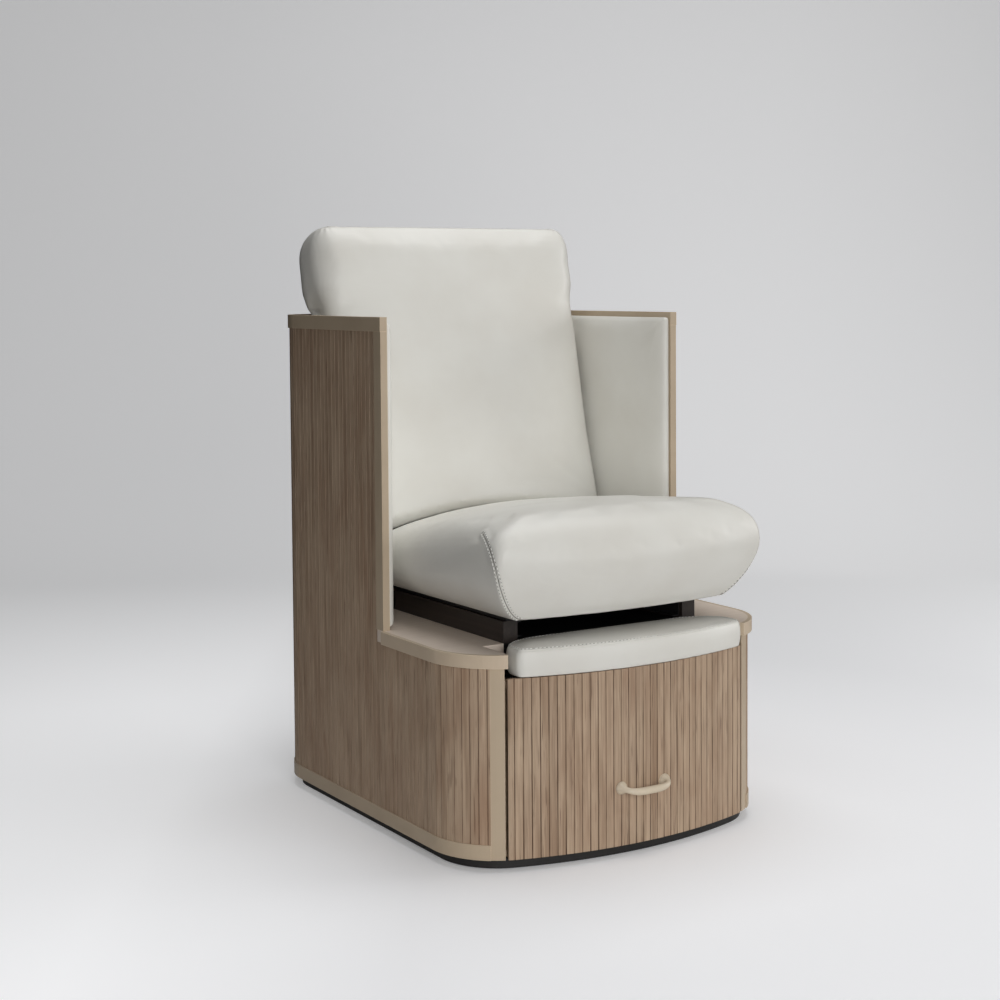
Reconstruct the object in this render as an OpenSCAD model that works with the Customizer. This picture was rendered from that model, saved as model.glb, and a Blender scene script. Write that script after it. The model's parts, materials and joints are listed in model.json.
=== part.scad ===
// Pedicure spa chair: a slatted U-shaped shell round a sliding, reclining seat,
// with a foot basin in a drawer under it. Front is -Y, up is +Z, the floor is z = 0,
// and x = 0 is the chair's middle plane.

/* [Shell] */
// Width of the shell over its wooden sides
body_w = 686; // [670:1:720]
// Depth from the middle of the drawer front to the back of the shell
body_d = 840; // [820:1:880]
// Height of the top of the rim
rim_z = 978; // [930:1:1010]
// Height of the rim moulding
rim_h = 27; // [18:1:40]
// How far the rim moulding stands proud of the slats
rim_proud = 3; // [1:0.5:6]
// Radius of the curved front
front_r = 820; // [780:5:900]
// Radius of the two front corners
corner_r = 135; // [125:1:150]
// Radius of the two back corners
back_r = 116; // [90:1:140]
// Thickness of the shell's slatted panels
wall_t = 12; // [9:0.5:14]
// Distance from the middle of the drawer front back to the arm fronts
arm_set = 350; // [320:1:380]
// Depth of the stile on each arm front
arm_stile_d = 28; // [20:1:40]
// How far the stiles and the base moulding stand proud
trim_proud = 2; // [1:0.5:4]

/* [Slats] */
// Distance from one slat to the next
slat_pitch = 16; // [12:0.5:24]
// Width of the groove between slats
groove_w = 2; // [1:0.1:4]
// Depth of the groove between slats
groove_d = 1.8; // [1:0.1:4]

/* [Base] */
// Height of the underside of the base above the floor
base_z = 22; // [18:1:30]
// Height of the moulding along the foot of the base
base_rail_h = 27; // [18:1:40]
// Thickness of the base board
base_board_t = 18; // [12:1:22]
// How far the toe kick stands back from the slats
toe_recess = 15; // [12:1:25]
// Thickness of the toe kick
toe_t = 15; // [10:1:20]
// Clearance under the toe kick
toe_lift = 3; // [1:0.5:6]
// Radius of a levelling foot
foot_r = 20; // [14:1:25]
// Radius of a levelling foot's stem
foot_stem_r = 5; // [3:0.5:8]
// Thickness of the bay walls beside the drawer
bay_wall_t = 15; // [12:1:18]
// Width of the stile on each side of the drawer
drawer_stile_w = 22; // [15:1:24]
// Thickness of the stile on each side of the drawer
drawer_stile_t = 25; // [18:1:30]

/* [Shelf] */
// Height of the shelf's top
shelf_z = 389; // [384:1:394]
// Thickness of the shelf
shelf_t = 24; // [18:1:25]
// Thickness of the edging round the shelf
edging_t = 8; // [4:1:12]
// Depth of the notch for the footrest, from the middle of the front
notch_d = 128; // [124:1:140]
// How far the plinth panels stand in from the sides of the seat's underside
plinth_inset = 14; // [5:1:24]
// Thickness of the plinth panels
plinth_t = 30; // [20:1:34]
// Height of the plinth panels
plinth_h = 40; // [38:1:45]
// Length of the plinth panels
plinth_l = 410; // [405:1:450]

/* [Drawer] */
// Width of the base beside the drawer front, from the shell's side
front_side_w = 80.5; // [78:0.5:86]
// Gap between the drawer front and its stiles
drawer_gap = 5; // [3:0.5:6]
// Height of the drawer front's top edge
drawer_top = 345; // [338:1:348]
// Thickness of the slatted skin on the drawer front
skin_t = 8; // [5:0.5:10]
// Thickness of the bent board behind the skin
core_t = 14; // [10:1:18]
// Thickness of the drawer box boards
box_t = 12; // [9:1:15]
// Height of the drawer box
box_h = 182; // [170:1:200]
// Length of the drawer box
box_l = 470; // [460:5:480]
// Travel of the drawer
drawer_travel = 400; // [200:10:400]
// Height of the middle of the drawer runners
runner_z = 120; // [100:1:140]
// Height of the drawer runners
runner_h = 46; // [35:1:50]
// Thickness of a closed drawer runner
runner_t = 12.7; // [12:0.1:14]
// Length of the drawer runners
runner_l = 450; // [440:10:460]
// Thickness of the runners' sheet steel
sheet_t = 1.5; // [1:0.1:1.8]

/* [Handle] */
// Distance between the handle's screws
handle_cc = 96; // [64:32:160]
// Height of the handle above the floor
handle_z = 128; // [100:1:300]
// How far the handle stands out from the drawer front
handle_reach = 30; // [24:1:40]
// Radius of the handle's flared feet
handle_foot_r = 12; // [9:0.5:14]
// Radius of the handle's grip at its middle
handle_grip_r = 7; // [5:0.5:9]
// Drop of the grip below the screws
handle_drop = 5; // [0:1:12]
// Radius of the handle's screws
screw_r = 2; // [1.5:0.5:3]

/* [Foot basin] */
// Gap between the basin's lip and the drawer's sides
basin_side_gap = 13; // [8:1:30]
// Gap between the basin's lip and what stands before and behind it
basin_end_gap = 16; // [10:1:30]
// Height of the basin
basin_h = 158; // [120:1:165]
// Thickness of the basin's wall
basin_t = 4; // [3:0.5:6]
// Corner radius of the basin
basin_r = 55; // [30:1:80]
// Width of the lip round the basin
basin_lip = 10; // [6:1:14]
// Radius of the basin's drain
drain_r = 19; // [15:1:25]

/* [Footrest] */
// Gap between the footrest cushion and the sides of its notch
footrest_gap = 5.5; // [5:0.5:12]
// Depth of the footrest cushion
footrest_d = 120; // [110:1:122]
// How far the footrest cushion stands out over the drawer front
footrest_over = 12; // [0:1:14]
// Radius of the footrest cushion's rear corners
footrest_rear_r = 84; // [20:1:90]
// Height of the footrest cushion's boxed edge
footrest_h = 50; // [40:1:52]
// Crown of the footrest cushion above its edge
footrest_crown = 7; // [0:1:8]
// Thickness of the footrest board
footrest_board_t = 8; // [6:1:8]
// Lift of the footrest
footrest_travel = 25; // [0:1:25]
// Radius of the footrest posts
post_r = 8; // [6:0.5:10]
// Distance between the footrest posts
post_cc = 300; // [200:10:400]

/* [Seat] */
// Height of the seat cushion's top at the front
seat_top_z = 640; // [612:1:644]
// Gap between the seat cushion's top seam and the arm pads
seat_gap = 10; // [8:1:18]
// How far the seat's sides flare out from its underside
seat_flare = 66; // [48:1:70]
// Length of the seat cushion from its top front seam to its rear
seat_l = 560; // [540:1:562]
// Drop of the seat from front to rear
seat_drop = 61; // [57:1:72]
// Radius of the seat's curved front edge
seat_front_r = 1350; // [900:50:2000]
// Height share at which the seat is widest, and above which it rolls over
seat_widest = 0.6; // [0.5:0.05:0.8]
// Inset of the seat's roll at its sides
seat_side_roll = 54; // [20:1:70]
// Inset of the seat's roll at its front
seat_front_roll = 70; // [30:1:90]
// Inset of the seat's roll at its rear
seat_rear_roll = 30; // [10:1:40]
// Setback of the seat's underside from its top front seam
seat_tuck = 34; // [20:1:50]
// Bulge of the seat's front past its top seam
seat_roll = 20; // [10:1:30]
// Distance from the middle of the drawer front back to the seat's top front seam
seat_set = 4; // [0:1:12]
// Thickness of the seat pan
pan_t = 12; // [9:1:12]
// Travel of the seat
seat_travel = 100; // [20:5:100]

/* [Back] */
// Lean of the back from upright
back_lean = 11.5; // [8:0.5:12]
// Gap between the back cushion and the arm pads
back_gap = 3; // [2:0.5:18]
// Height of the back cushion along its lean
back_h = 600; // [560:1:620]
// Thickness of the back cushion at its sides
back_t = 128; // [110:1:132]
// Crown of the back cushion at its foot
back_crown = 62; // [40:1:66]
// Thickness of the back board
back_board_t = 12; // [9:1:13]
// Height of the back board
back_board_h = 380; // [300:5:380]
// How far the back board stands in from the sides of the back cushion
back_board_inset = 45; // [20:1:80]
// Length of the back's side arms above the hinge
back_arm_l = 300; // [200:5:320]
// Thickness of the back's side arms and of the ears that carry them
arm_plate_t = 6; // [4:0.5:8]
// Height of the recline hinge above the seat pan
hinge_rise = 28; // [24:1:38]
// Distance of the recline hinge from the back of the shell
hinge_set = 138; // [134:1:145]
// Radius of the hinge pins
pin_r = 6; // [5:0.5:8]
// Recline of the back from its most upright position
recline_travel = 4.5; // [0:0.5:4.5]

/* [Arm pads] */
// Thickness of the arm pads at their edges
arm_pad_t = 15; // [10:1:16]
// Crown of the arm pads
arm_pad_crown = 8; // [4:1:8]

/* [Hidden] */
$fn = 48;

degree = PI / 180;
slide_gap = 0.3;      // between pieces that slide on one another
pin_gap = 0.05;       // radial clearance of pins and posts
soft_gap = 0.5;       // between a cushion and what passes it
eps = 0.01;           // overlap of a cutting tool past the face that it cuts

// Places along Y, from the front
front_y = handle_reach - (body_d + handle_reach + rim_proud) / 2;
back_y = front_y + body_d;
arm_y = front_y + arm_set;

// The base outline: front arc, front corner, straight side, back corner, back
front_cy = front_y + front_r;
corner_cx = body_w / 2 - corner_r;
front_turn = asin(corner_cx / (front_r - corner_r));
corner_cy = front_cy - (front_r - corner_r) * cos(front_turn);
back_cx = body_w / 2 - back_r;
back_cy = back_y - back_r;
s_front = front_r * front_turn * degree;
s_corner = s_front + corner_r * (90 - front_turn) * degree;
s_side = s_corner + back_cy - corner_cy;
s_back = s_side + back_r * 90 * degree;
s_end = s_back + back_cx;
s_arm = s_corner + arm_y - corner_cy;
s_panel = s_arm + arm_stile_d;

// Place on the outline at length s from the middle of the front, moved out by off
function flip(p) = [-p[0], p[1]];
function turned(cx, cy, r, a) = [cx + r * sin(a), cy - r * cos(a)];
function at(s, off = 0) =
    s < 0 ? flip(at(-s, off)) :
    s > s_end ? flip(at(2 * s_end - s, off)) :
    s <= s_front ? turned(0, front_cy, front_r + off, s / front_r / degree) :
    s <= s_corner ? turned(corner_cx, corner_cy, corner_r + off,
        front_turn + (s - s_front) / corner_r / degree) :
    s <= s_side ? [body_w / 2 + off, corner_cy + s - s_corner] :
    s <= s_back ? turned(back_cx, back_cy, back_r + off, 90 + (s - s_side) / back_r / degree) :
    [back_cx - (s - s_back), back_y + off];

// Length along the outline of a point of the front that lies x from the middle, off out
function s_of(x, off = 0) =
    x <= front_r * sin(front_turn) ? front_r * asin(x / front_r) * degree :
    s_front + corner_r * (asin((x - corner_cx) / (corner_r + off)) - front_turn) * degree;

function reversed(v) = [for (i = [len(v) - 1:-1:0]) v[i]];
function steps(a, b, size) =
    let (n = ceil(abs(b - a) / size)) [for (i = [0:n]) a + (b - a) * i / n];
function path(stops, off) = [for (s = stops) at(s, off)];
function slatted(a, b, off = 0) = concat(
    [at(a, off)],
    [for (g = [ceil((a + groove_w) / slat_pitch):floor((b - groove_w) / slat_pitch)])
        for (k = [-1:1])
            at(g * slat_pitch + k * groove_w / 2, off - (k == 0 ? groove_d : 0))],
    [at(b, off)]);

arc_step = 9;         // length of the straight steps that make up an arc
drawer_half = body_w / 2 - front_side_w;
mouth_half = drawer_half + drawer_gap;
s_mouth = s_of(mouth_half);
s_stile = s_of(mouth_half + drawer_stile_w);
s_drawer = s_of(drawer_half);
front_stops = steps(-s_drawer, s_drawer, arc_step);
corner_stops = concat(steps(s_stile, s_corner, arc_step), [s_panel]);
rear_stops = concat(
    steps(s_side, s_back, arc_step),
    steps(2 * s_end - s_back, 2 * s_end - s_side, arc_step));

// The drawer: the depth of its bent front, its flat inner front and its box
core_in = skin_t + core_t;
core_top = drawer_top - 8;
subfront_y = corner_cy - sqrt(pow(corner_r - core_in, 2) - pow(drawer_half - corner_cx, 2));
box_y = subfront_y + box_t;
box_rear = box_y + box_l;
box_half = mouth_half - runner_t;
box_z = base_z + base_board_t + 18;

rail_top = base_z + base_rail_h;
panel_top = rim_z - rim_h;
shelf_low = shelf_z - shelf_t;
inner_half = body_w / 2 - wall_t;
pad_face = inner_half - arm_pad_t - arm_pad_crown;
seat_w = 2 * (pad_face - seat_gap);
seat_base_w = seat_w - 2 * seat_flare;
back_w = 2 * (pad_face - back_gap);
footrest_w = 2 * (drawer_half - footrest_gap);

wood = "#8c7a68";
trim = "#a9977f";
vinyl = "#dedcd5";
dark = "#1c1a19";
steel = "#9a9c9f";

module extruded(points, z0, z1) {
    translate([0, 0, z0]) linear_extrude(z1 - z0) polygon(points);
}

module band(outer, inner, z0, z1) {
    extruded(concat(outer, reversed(inner)), z0, z1);
}

module box(low, high) {
    translate(low) cube(high - low);
}

module left() {
    mirror([1, 0, 0]) children();
}

// Base -----------------------------------------------------------------

board_y = box_y + 3;                     // front edge of the base board
base_in = corner_r - wall_t;
s_board = s_front + corner_r * (acos((corner_cy - board_y) / base_in) - front_turn) * degree;
foot_places = [
    [body_w / 2 - 70, front_y + 150],
    [body_w / 2 - 70, arm_y + 160],
    [back_cx, back_cy]
];

module levelling_feet() {
    color(dark)
        for (side = [-1, 1], p = foot_places)
            translate([side * p[0], p[1], 0]) {
                cylinder(h = base_z / 2, r = foot_r);
                translate([0, 0, base_z / 2]) cylinder(h = base_z / 2, r = 2 * foot_stem_r);
                cylinder(h = base_z + base_board_t - 2, r = foot_stem_r);
            }
}

module base_board() {
    near = [for (s = steps(s_stile, s_corner, arc_step)) if (s > s_board) s];
    stops = concat([s_board], near, rear_stops);
    half = [for (s = stops) if (s <= s_end) at(s, -wall_t)];
    color(wood)
        difference() {
            extruded(concat(half, reversed([for (p = half) flip(p)])),
                base_z, base_z + base_board_t);
            for (side = [-1, 1], p = foot_places)
                translate([side * p[0], p[1], base_z - 1])
                    cylinder(h = base_board_t + 2, r = foot_stem_r);
        }
}

module toe_kick_frame() {
    near = steps(s_mouth, s_corner, arc_step);
    stops = concat(near, rear_stops, reversed([for (s = near) 2 * s_end - s]));
    color(dark)
        band(path(stops, -toe_recess), path(stops, -toe_recess - toe_t), toe_lift, base_z);
}

module toe_kick_front() {
    stops = steps(-s_mouth, s_mouth, arc_step);
    color(dark)
        band(path(stops, -toe_recess), path(stops, -toe_recess - toe_t), toe_lift, base_z - 2);
}

module base_rail() {
    stops = concat(steps(s_stile, s_corner, arc_step), [s_side]);
    color(trim) band(path(stops, trim_proud), path(stops, -wall_t), base_z, rail_top);
}

module base_rail_rear() {
    color(trim)
        band(path(rear_stops, trim_proud), path(rear_stops, -wall_t), base_z, rail_top);
}

module corner_panel() {
    color(wood) band(slatted(s_stile, s_panel), path(corner_stops, -wall_t), rail_top, shelf_low);
}

module drawer_stile() {
    outer = steps(s_mouth, s_stile, arc_step);
    inner = steps(s_of(mouth_half, -drawer_stile_t), s_stile, arc_step);
    color(trim) band(path(outer, 0), path(inner, -drawer_stile_t), base_z, shelf_low);
}

function stile_rear(x) =
    corner_cy - sqrt(pow(corner_r - drawer_stile_t, 2) - pow(x - corner_cx, 2));

module bay_wall() {
    rear = box_rear + box_t;
    outer = mouth_half + bay_wall_t;
    color(wood)
        extruded([
            [mouth_half, stile_rear(mouth_half)], [outer, stile_rear(outer)],
            [outer, rear], [mouth_half, rear]
        ], base_z + base_board_t, shelf_low);
}

// Shell ----------------------------------------------------------------

module side_panel() {
    color(wood)
        band(slatted(s_panel, s_side), path([s_panel, s_side], -wall_t), rail_top, panel_top);
}

module rear_panel() {
    color(wood)
        band(slatted(s_side, 2 * s_end - s_side), path(rear_stops, -wall_t),
            rail_top, panel_top);
}

module arm_stile() {
    box([inner_half, arm_y, shelf_z], [body_w / 2 + trim_proud, arm_y + arm_stile_d, panel_top]);
}

module rim_side() {
    stops = [s_arm, s_side];
    color(trim) band(path(stops, rim_proud), path(stops, -wall_t), panel_top, rim_z);
}

module rim_rear() {
    color(trim)
        band(path(rear_stops, rim_proud), path(rear_stops, -wall_t), panel_top, rim_z);
}

// Shelf ----------------------------------------------------------------

notch_y = front_y + notch_d;
s_notch = s_drawer;

module shelf_board() {
    half = concat(
        [[drawer_half, notch_y]],
        path(concat(steps(s_notch, s_corner, arc_step), [s_panel]), 0),
        [[inner_half, arm_y + arm_stile_d], [inner_half, back_cy]]);
    color(wood) extruded(concat(half, reversed([for (p = half) flip(p)])), shelf_low, shelf_z);
}

module shelf_edging() {
    stops = concat(steps(s_notch, s_corner, arc_step), [s_arm]);
    color(trim) band(path(stops, edging_t), path(stops, 0), shelf_low, shelf_z);
}

plinth_y = notch_y;
plinth_out = seat_base_w / 2 - plinth_inset;
plinth_in = plinth_out - plinth_t;
plinth_top = shelf_z + plinth_h;

module plinth() {
    color(dark) box([plinth_in, plinth_y, shelf_z], [plinth_out, plinth_y + plinth_l, plinth_top]);
}

module plinth_back() {
    color(dark)
        box([-plinth_in, plinth_y + plinth_l - box_t, shelf_z],
            [plinth_in, plinth_y + plinth_l, plinth_top]);
}

// Cushions -------------------------------------------------------------

// A closed skin over rings that all have the same number of points
function middle(ring) = [for (k = [0:2]) sum([for (p = ring) p[k]]) / len(ring)];
function sum(v, i = 0) = i < len(v) ? v[i] + sum(v, i + 1) : 0;

module skin(rings) {
    n = len(rings);
    m = len(rings[0]);
    points = concat([for (ring = rings, p = ring) p], [middle(rings[0]), middle(rings[n - 1])]);
    faces = concat(
        [for (j = [0:n - 2], i = [0:m - 1])
            [j * m + i, (j + 1) * m + i, j * m + (i + 1) % m]],
        [for (j = [0:n - 2], i = [0:m - 1])
            [j * m + (i + 1) % m, (j + 1) * m + i, (j + 1) * m + (i + 1) % m]],
        [for (i = [0:m - 1]) [n * m, i, (i + 1) % m]],
        [for (i = [0:m - 1]) [n * m + 1, (n - 1) * m + (i + 1) % m, (n - 1) * m + i]]);
    polyhedron(points, faces);
}

// Rounded rectangle from y0 to y1 and x = -a to a, anticlockwise from its front left,
// with corners of radius c at the front and rear_c at the rear
edge_n = 8;
side_n = 4;
turn_n = 3;
function corner(x, y, c, a0) = [for (i = [0:turn_n])
    [x + c * cos(a0 + 90 * i / turn_n), y + c * sin(a0 + 90 * i / turn_n)]];
function between(p, q, n) = [for (i = [1:n - 1]) p + (q - p) * i / n];
function rounded(a, y0, y1, c, rear_c = -1) = let (d = rear_c < 0 ? c : rear_c) concat(
    between([-a + c, y0], [a - c, y0], edge_n), corner(a - c, y0 + c, c, -90),
    between([a, y0 + c], [a, y1 - d], side_n), corner(a - d, y1 - d, d, 0),
    between([a - d, y1], [-a + d, y1], edge_n), corner(-a + d, y1 - d, d, 90),
    between([-a, y1 - d], [-a, y0 + c], side_n), corner(-a + c, y0 + c, c, 180));

// How far back the curved front lies x from the middle
function bow(x) = front_r - sqrt(front_r * front_r - x * x);

// Seat: rings from the underside up to its widest, then in over the rolled top
seat_front = front_y + seat_set;
seat_rear = seat_front + seat_l;
pan_z = plinth_top + 1;
seat_low = pan_z + pan_t;
seat_edge = 0.965;    // share of the height at which the roll ends and the crown starts
function seat_bow(x) = seat_front_r - sqrt(seat_front_r * seat_front_r - x * x);
function seat_top(y) = seat_top_z - seat_drop * pow(max(0, (y - seat_front) / seat_l), 1.6);
function seat_half(rise) =
    seat_base_w / 2 + (seat_w - seat_base_w) / 2 * pow(sin(90 * rise), 0.9);
function seat_nose(rise) =
    seat_front + seat_tuck * pow(1 - rise, 2) - seat_roll * pow(sin(90 * rise), 1.5);
// One ring: rise is its share of the way to the widest, in its insets at the side,
// front and rear, and lift its share of the height
function seat_ring(rise, in, lift) = let (
        a = seat_half(rise) - in[0],
        y0 = seat_nose(rise) + in[1],
        y1 = seat_rear - in[2],
        c = 7 + 8 * rise + 0.9 * min(in[0], in[1]))
    [for (p = rounded(a, y0, y1, c, c + 10)) let (
            y = p[1] + seat_bow(p[0]) * (y1 - p[1]) / (y1 - y0))
        [p[0], y, seat_low + (seat_top(y) - seat_low) * lift]];

module seat_cushion() {
    roll_in = [seat_side_roll, seat_front_roll, seat_rear_roll];
    walls = [for (h = [0, 0.06, 0.15, 0.26, 0.4, 0.56, 0.72, 0.87, 1])
        seat_ring(h, [0, 0, 0], h * seat_widest)];
    roll = [for (t = [15:15:90])
        seat_ring(1, roll_in * (1 - cos(t)), seat_widest + (seat_edge - seat_widest) * sin(t))];
    crown = [for (k = [0.2, 0.45, 0.72])
        seat_ring(1, roll_in + [210, 170, 170] * k, seat_edge + (1 - seat_edge) * sin(90 * k))];
    color(vinyl) skin(concat([seat_ring(0, [110, 110, 110], 0)], walls, roll, crown));
}

// Back: rings up the back in its own leaning frame, then in over the rounded top
hinge_y = back_y - hinge_set;
hinge_z = seat_low + hinge_rise;
arm_half = 18;        // half the depth of the back's side arms
back_rear = -arm_half - back_board_t;
back_foot = 76;       // height of the cushion's foot above the hinge, along the lean
dome_h = 62;          // height of the rounded top
back_front_c = 22;    // radius of the cushion's front side edges
back_rear_c = 45;     // radius of its rear side edges above the shell
back_swing_c = 72;    // their radius lower down, where they swing past the shell's corners
module leaning() {
    translate([0, hinge_y, hinge_z]) rotate([-back_lean, 0, 0]) children();
}

function back_bulge(v) = 3 + (back_crown - 3) * pow(1 - v, 1.35);
// One ring: z is its height, side, nose and tail are its insets at the side, front and rear
function back_ring(z, side, nose, tail, v) = let (
        a = back_w / 2 - side,
        y0 = back_rear - back_t + nose,
        y1 = back_rear - tail,
        room = (y1 - y0) / back_t,
        rear_c = back_rear_c + (back_swing_c - back_rear_c) * pow(min(1, 4.5 * (1 - v)), 1.6))
    [for (p = rounded(a, y0, y1, back_front_c * room, rear_c * room)) let (
            share = pow((y1 - p[1]) / (y1 - y0), 2),
            crown = back_bulge(v) * (1 - pow(p[0] / a, 2)) * share)
        [p[0], p[1] - crown, z]];

module back_cushion() {
    body_h = back_h - dome_h;
    foot = [for (t = [0:30:90])
        back_ring(back_foot + 16 * (1 - sin(t)), 16 * sin(t), 16 * sin(t), 0, 0)];
    body = [for (i = [1:8])
        back_ring(back_foot + 16 + (body_h - 16) * i / 8, 0, 0, 0, i / 9)];
    dome = [for (t = [15:15:90])
        back_ring(back_foot + body_h + dome_h * sin(t),
            46 * (1 - cos(t)), 26 * (1 - cos(t)), 74 * (1 - cos(t)), 1)];
    color(vinyl) leaning() skin(concat(reversed(foot), body, dome));
}

// Footrest: a boxed cushion whose front follows the drawer front
footrest_z = drawer_top + 2;
footrest_front = front_y - footrest_over;
footrest_rear = front_y + footrest_d;
// One ring, drawn in by inset from the cushion's outline
function footrest_ring(inset, z) = let (
        a = footrest_w / 2 - inset,
        y0 = footrest_front + inset,
        y1 = footrest_rear - inset,
        c = max(2, 15 - inset),
        d = min(max(2, footrest_rear_r - inset), 0.8 * (y1 - y0) - c))
    [for (p = rounded(a, y0, y1, c, d))
        [p[0], p[1] + bow(p[0]) * (y1 - p[1]) / (y1 - y0), z]];

module footrest_pad() {
    top = footrest_z + footrest_h;
    walls = [for (h = [0, 0.1, 0.5, 0.9, 1])
        footrest_ring(3 - 3 * sin(180 * h), footrest_z + footrest_h * h)];
    crown = [for (k = [0.1, 0.25, 0.5, 0.8])
        footrest_ring(3 + 55 * k, top + footrest_crown * sin(90 * min(1, 1.15 * k)))];
    color(vinyl) skin(concat([footrest_ring(40, footrest_z)], walls, crown));
}

// Arm pads: thin cushions on the inner faces of the arms
arm_pad_y0 = arm_y + 1.5;
arm_pad_y1 = back_cy;
arm_pad_z0 = shelf_z + 1;
arm_pad_z1 = rim_z - 8;
function pad_ring(inset, t) = let (
        half = (arm_pad_z1 - arm_pad_z0) / 2 - inset,
        mid = (arm_pad_z1 + arm_pad_z0) / 2)
    [for (p = rounded(half, arm_pad_y0 + inset, arm_pad_y1 - inset, 8))
        [inner_half - t, p[1], mid + p[0]]];

module arm_pad() {
    rings = concat(
        [pad_ring(0, 0), pad_ring(0, arm_pad_t * 0.6), pad_ring(2, arm_pad_t * 0.9),
            pad_ring(6, arm_pad_t)],
        [for (k = [1:4]) pad_ring(6 + 38 * k, arm_pad_t + arm_pad_crown * sin(22.5 * k))]);
    color(vinyl) skin(rings);
}

// Drawer runners: three nested channels on each side --------------------

runner_y = board_y + 6;
// A channel's section: its back at x0, its lips at x1, half its height h
function channel(x0, x1, h) = let (t = x1 > x0 ? sheet_t : -sheet_t) [
    [x0, -h], [x1, -h], [x1, -h + sheet_t], [x0 + t, -h + sheet_t],
    [x0 + t, h - sheet_t], [x1, h - sheet_t], [x1, h], [x0, h]];

module along_y(section, y0, y1, z) {
    translate([0, y1, z]) rotate([90, 0, 0]) linear_extrude(y1 - y0) polygon(section);
}

runner_lip = 2.2;     // distance from a channel's lips to the face beyond them
nest = sheet_t + slide_gap;

module runner_outer() {
    color(steel)
        along_y(channel(mouth_half, mouth_half - runner_t + runner_lip, runner_h / 2),
            runner_y, runner_y + runner_l, runner_z);
}

module runner_middles() {
    color(steel)
        for (side = [0, 1]) mirror([side, 0, 0])
            along_y(channel(mouth_half - nest, mouth_half - runner_t + runner_lip,
                    runner_h / 2 - nest),
                runner_y, runner_y + runner_l, runner_z);
}

module runner_inner() {
    color(steel)
        along_y(channel(mouth_half - runner_t, mouth_half - 2 * nest, runner_h / 2 - 2 * nest),
            runner_y, runner_y + runner_l, runner_z);
}

// Drawer ---------------------------------------------------------------

screw_hole_r = screw_r + 0.2;

module at_handle_screws(y) {
    for (side = [-1, 1])
        translate([side * handle_cc / 2, y, handle_z]) rotate([-90, 0, 0]) children();
}

module drawer_skin() {
    color(wood)
        difference() {
            band(slatted(-s_drawer, s_drawer), path(front_stops, -skin_t), base_z, drawer_top);
            at_handle_screws(front_y - 5) cylinder(h = 40, r = screw_hole_r);
        }
}

module drawer_core() {
    rib = concat(path(front_stops, -core_in), [[drawer_half, subfront_y], [-drawer_half, subfront_y]]);
    color(wood)
        difference() {
            union() {
                band(path(front_stops, -skin_t), path(front_stops, -core_in), base_z, core_top);
                extruded(rib, base_z, base_z + box_t);
                extruded(rib, core_top - box_t, core_top);
            }
            at_handle_screws(front_y - 5) cylinder(h = 40, r = screw_hole_r);
        }
}

module drawer_subfront() {
    color(wood) box([-box_half, subfront_y, base_z], [box_half, box_y, core_top]);
}

module drawer_side() {
    color(wood) box([box_half - box_t, box_y, box_z], [box_half, box_rear, box_z + box_h]);
}

module drawer_bottom() {
    color(wood)
        box([-box_half + box_t, box_y, box_z], [box_half - box_t, box_rear, box_z + box_t]);
}

module drawer_back() {
    color(wood)
        box([-box_half + box_t, box_rear - box_t, box_z + box_t],
            [box_half - box_t, box_rear, box_z + box_h]);
}

// Handle: one swept casting, flared at both feet and drooping a little
function power(v, e) = sign(v) * pow(abs(v), e);
handle_root = front_y + bow(handle_cc / 2 - handle_foot_r);
handle_out = handle_root - (front_y - handle_reach) - handle_grip_r;
function handle_place(u) = [
    -handle_cc / 2 * power(cos(u), 0.55),
    handle_root - handle_out * power(sin(u), 0.6),
    handle_z - handle_drop * pow(sin(u), 2)];
function handle_radius(u) = let (s = sin(u))
    handle_grip_r * (0.68 + 0.32 * pow(s, 3)) + (handle_foot_r - handle_grip_r * 0.68) * pow(1 - s, 5);
handle_stops = concat([0, 2, 5, 10, 16], [for (u = [24:12:156]) u], [164, 170, 175, 178, 180]);
function unit(v) = v / norm(v);
function tube_ring(c, dir, r, sides) = let (across = unit(cross(dir, [0, 0, 1])),
        up = cross(across, dir))
    [for (i = [0:sides - 1]) c + r * (cos(360 * i / sides) * up + sin(360 * i / sides) * across)];

module drawer_handle() {
    rings = [for (u = handle_stops) let (
            low = handle_place(max(0, u - 1)),
            high = handle_place(min(180, u + 1)))
        tube_ring(handle_place(u), u < 1 ? [0, -1, 0] : u > 179 ? [0, 1, 0] : unit(high - low),
            handle_radius(u), 16)];
    color(trim) skin([for (ring = rings) reversed(ring)]);
}

module handle_screws() {
    seat = front_y + core_in + bow(handle_cc / 2) + 1;
    color(steel)
        at_handle_screws(handle_root - 8) {
            cylinder(h = seat - handle_root + 8, r = screw_r);
            translate([0, 0, seat - handle_root + 8]) cylinder(h = 3, r = 2 * screw_r);
        }
}

// Foot basin -------------------------------------------------------------

guide_wall = 5;
guide_out = post_r + guide_wall;
post_y = box_y + guide_out;
basin_z = box_z + box_t;
basin_half = box_half - box_t - basin_side_gap - basin_lip;
basin_y0 = post_y + guide_out + basin_end_gap + basin_lip;
basin_y1 = box_rear - box_t - basin_end_gap - basin_lip;
basin_mid = (basin_y0 + basin_y1) / 2;

module rounded_block(half, y0, y1, r, z0, z1) {
    extruded(rounded(half, y0, y1, r), z0, z1);
}

module foot_basin() {
    top = basin_z + basin_h;
    color("#e9e9e6")
        difference() {
            union() {
                rounded_block(basin_half, basin_y0, basin_y1, basin_r, basin_z, top);
                rounded_block(basin_half + basin_lip, basin_y0 - basin_lip, basin_y1 + basin_lip,
                    basin_r + basin_lip, top - basin_t, top);
            }
            rounded_block(basin_half - basin_t, basin_y0 + basin_t, basin_y1 - basin_t,
                basin_r - basin_t, basin_z + basin_t, top + 1);
            translate([0, basin_mid, basin_z - 1])
                cylinder(h = basin_t + 2, r = drain_r);
        }
}

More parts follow.
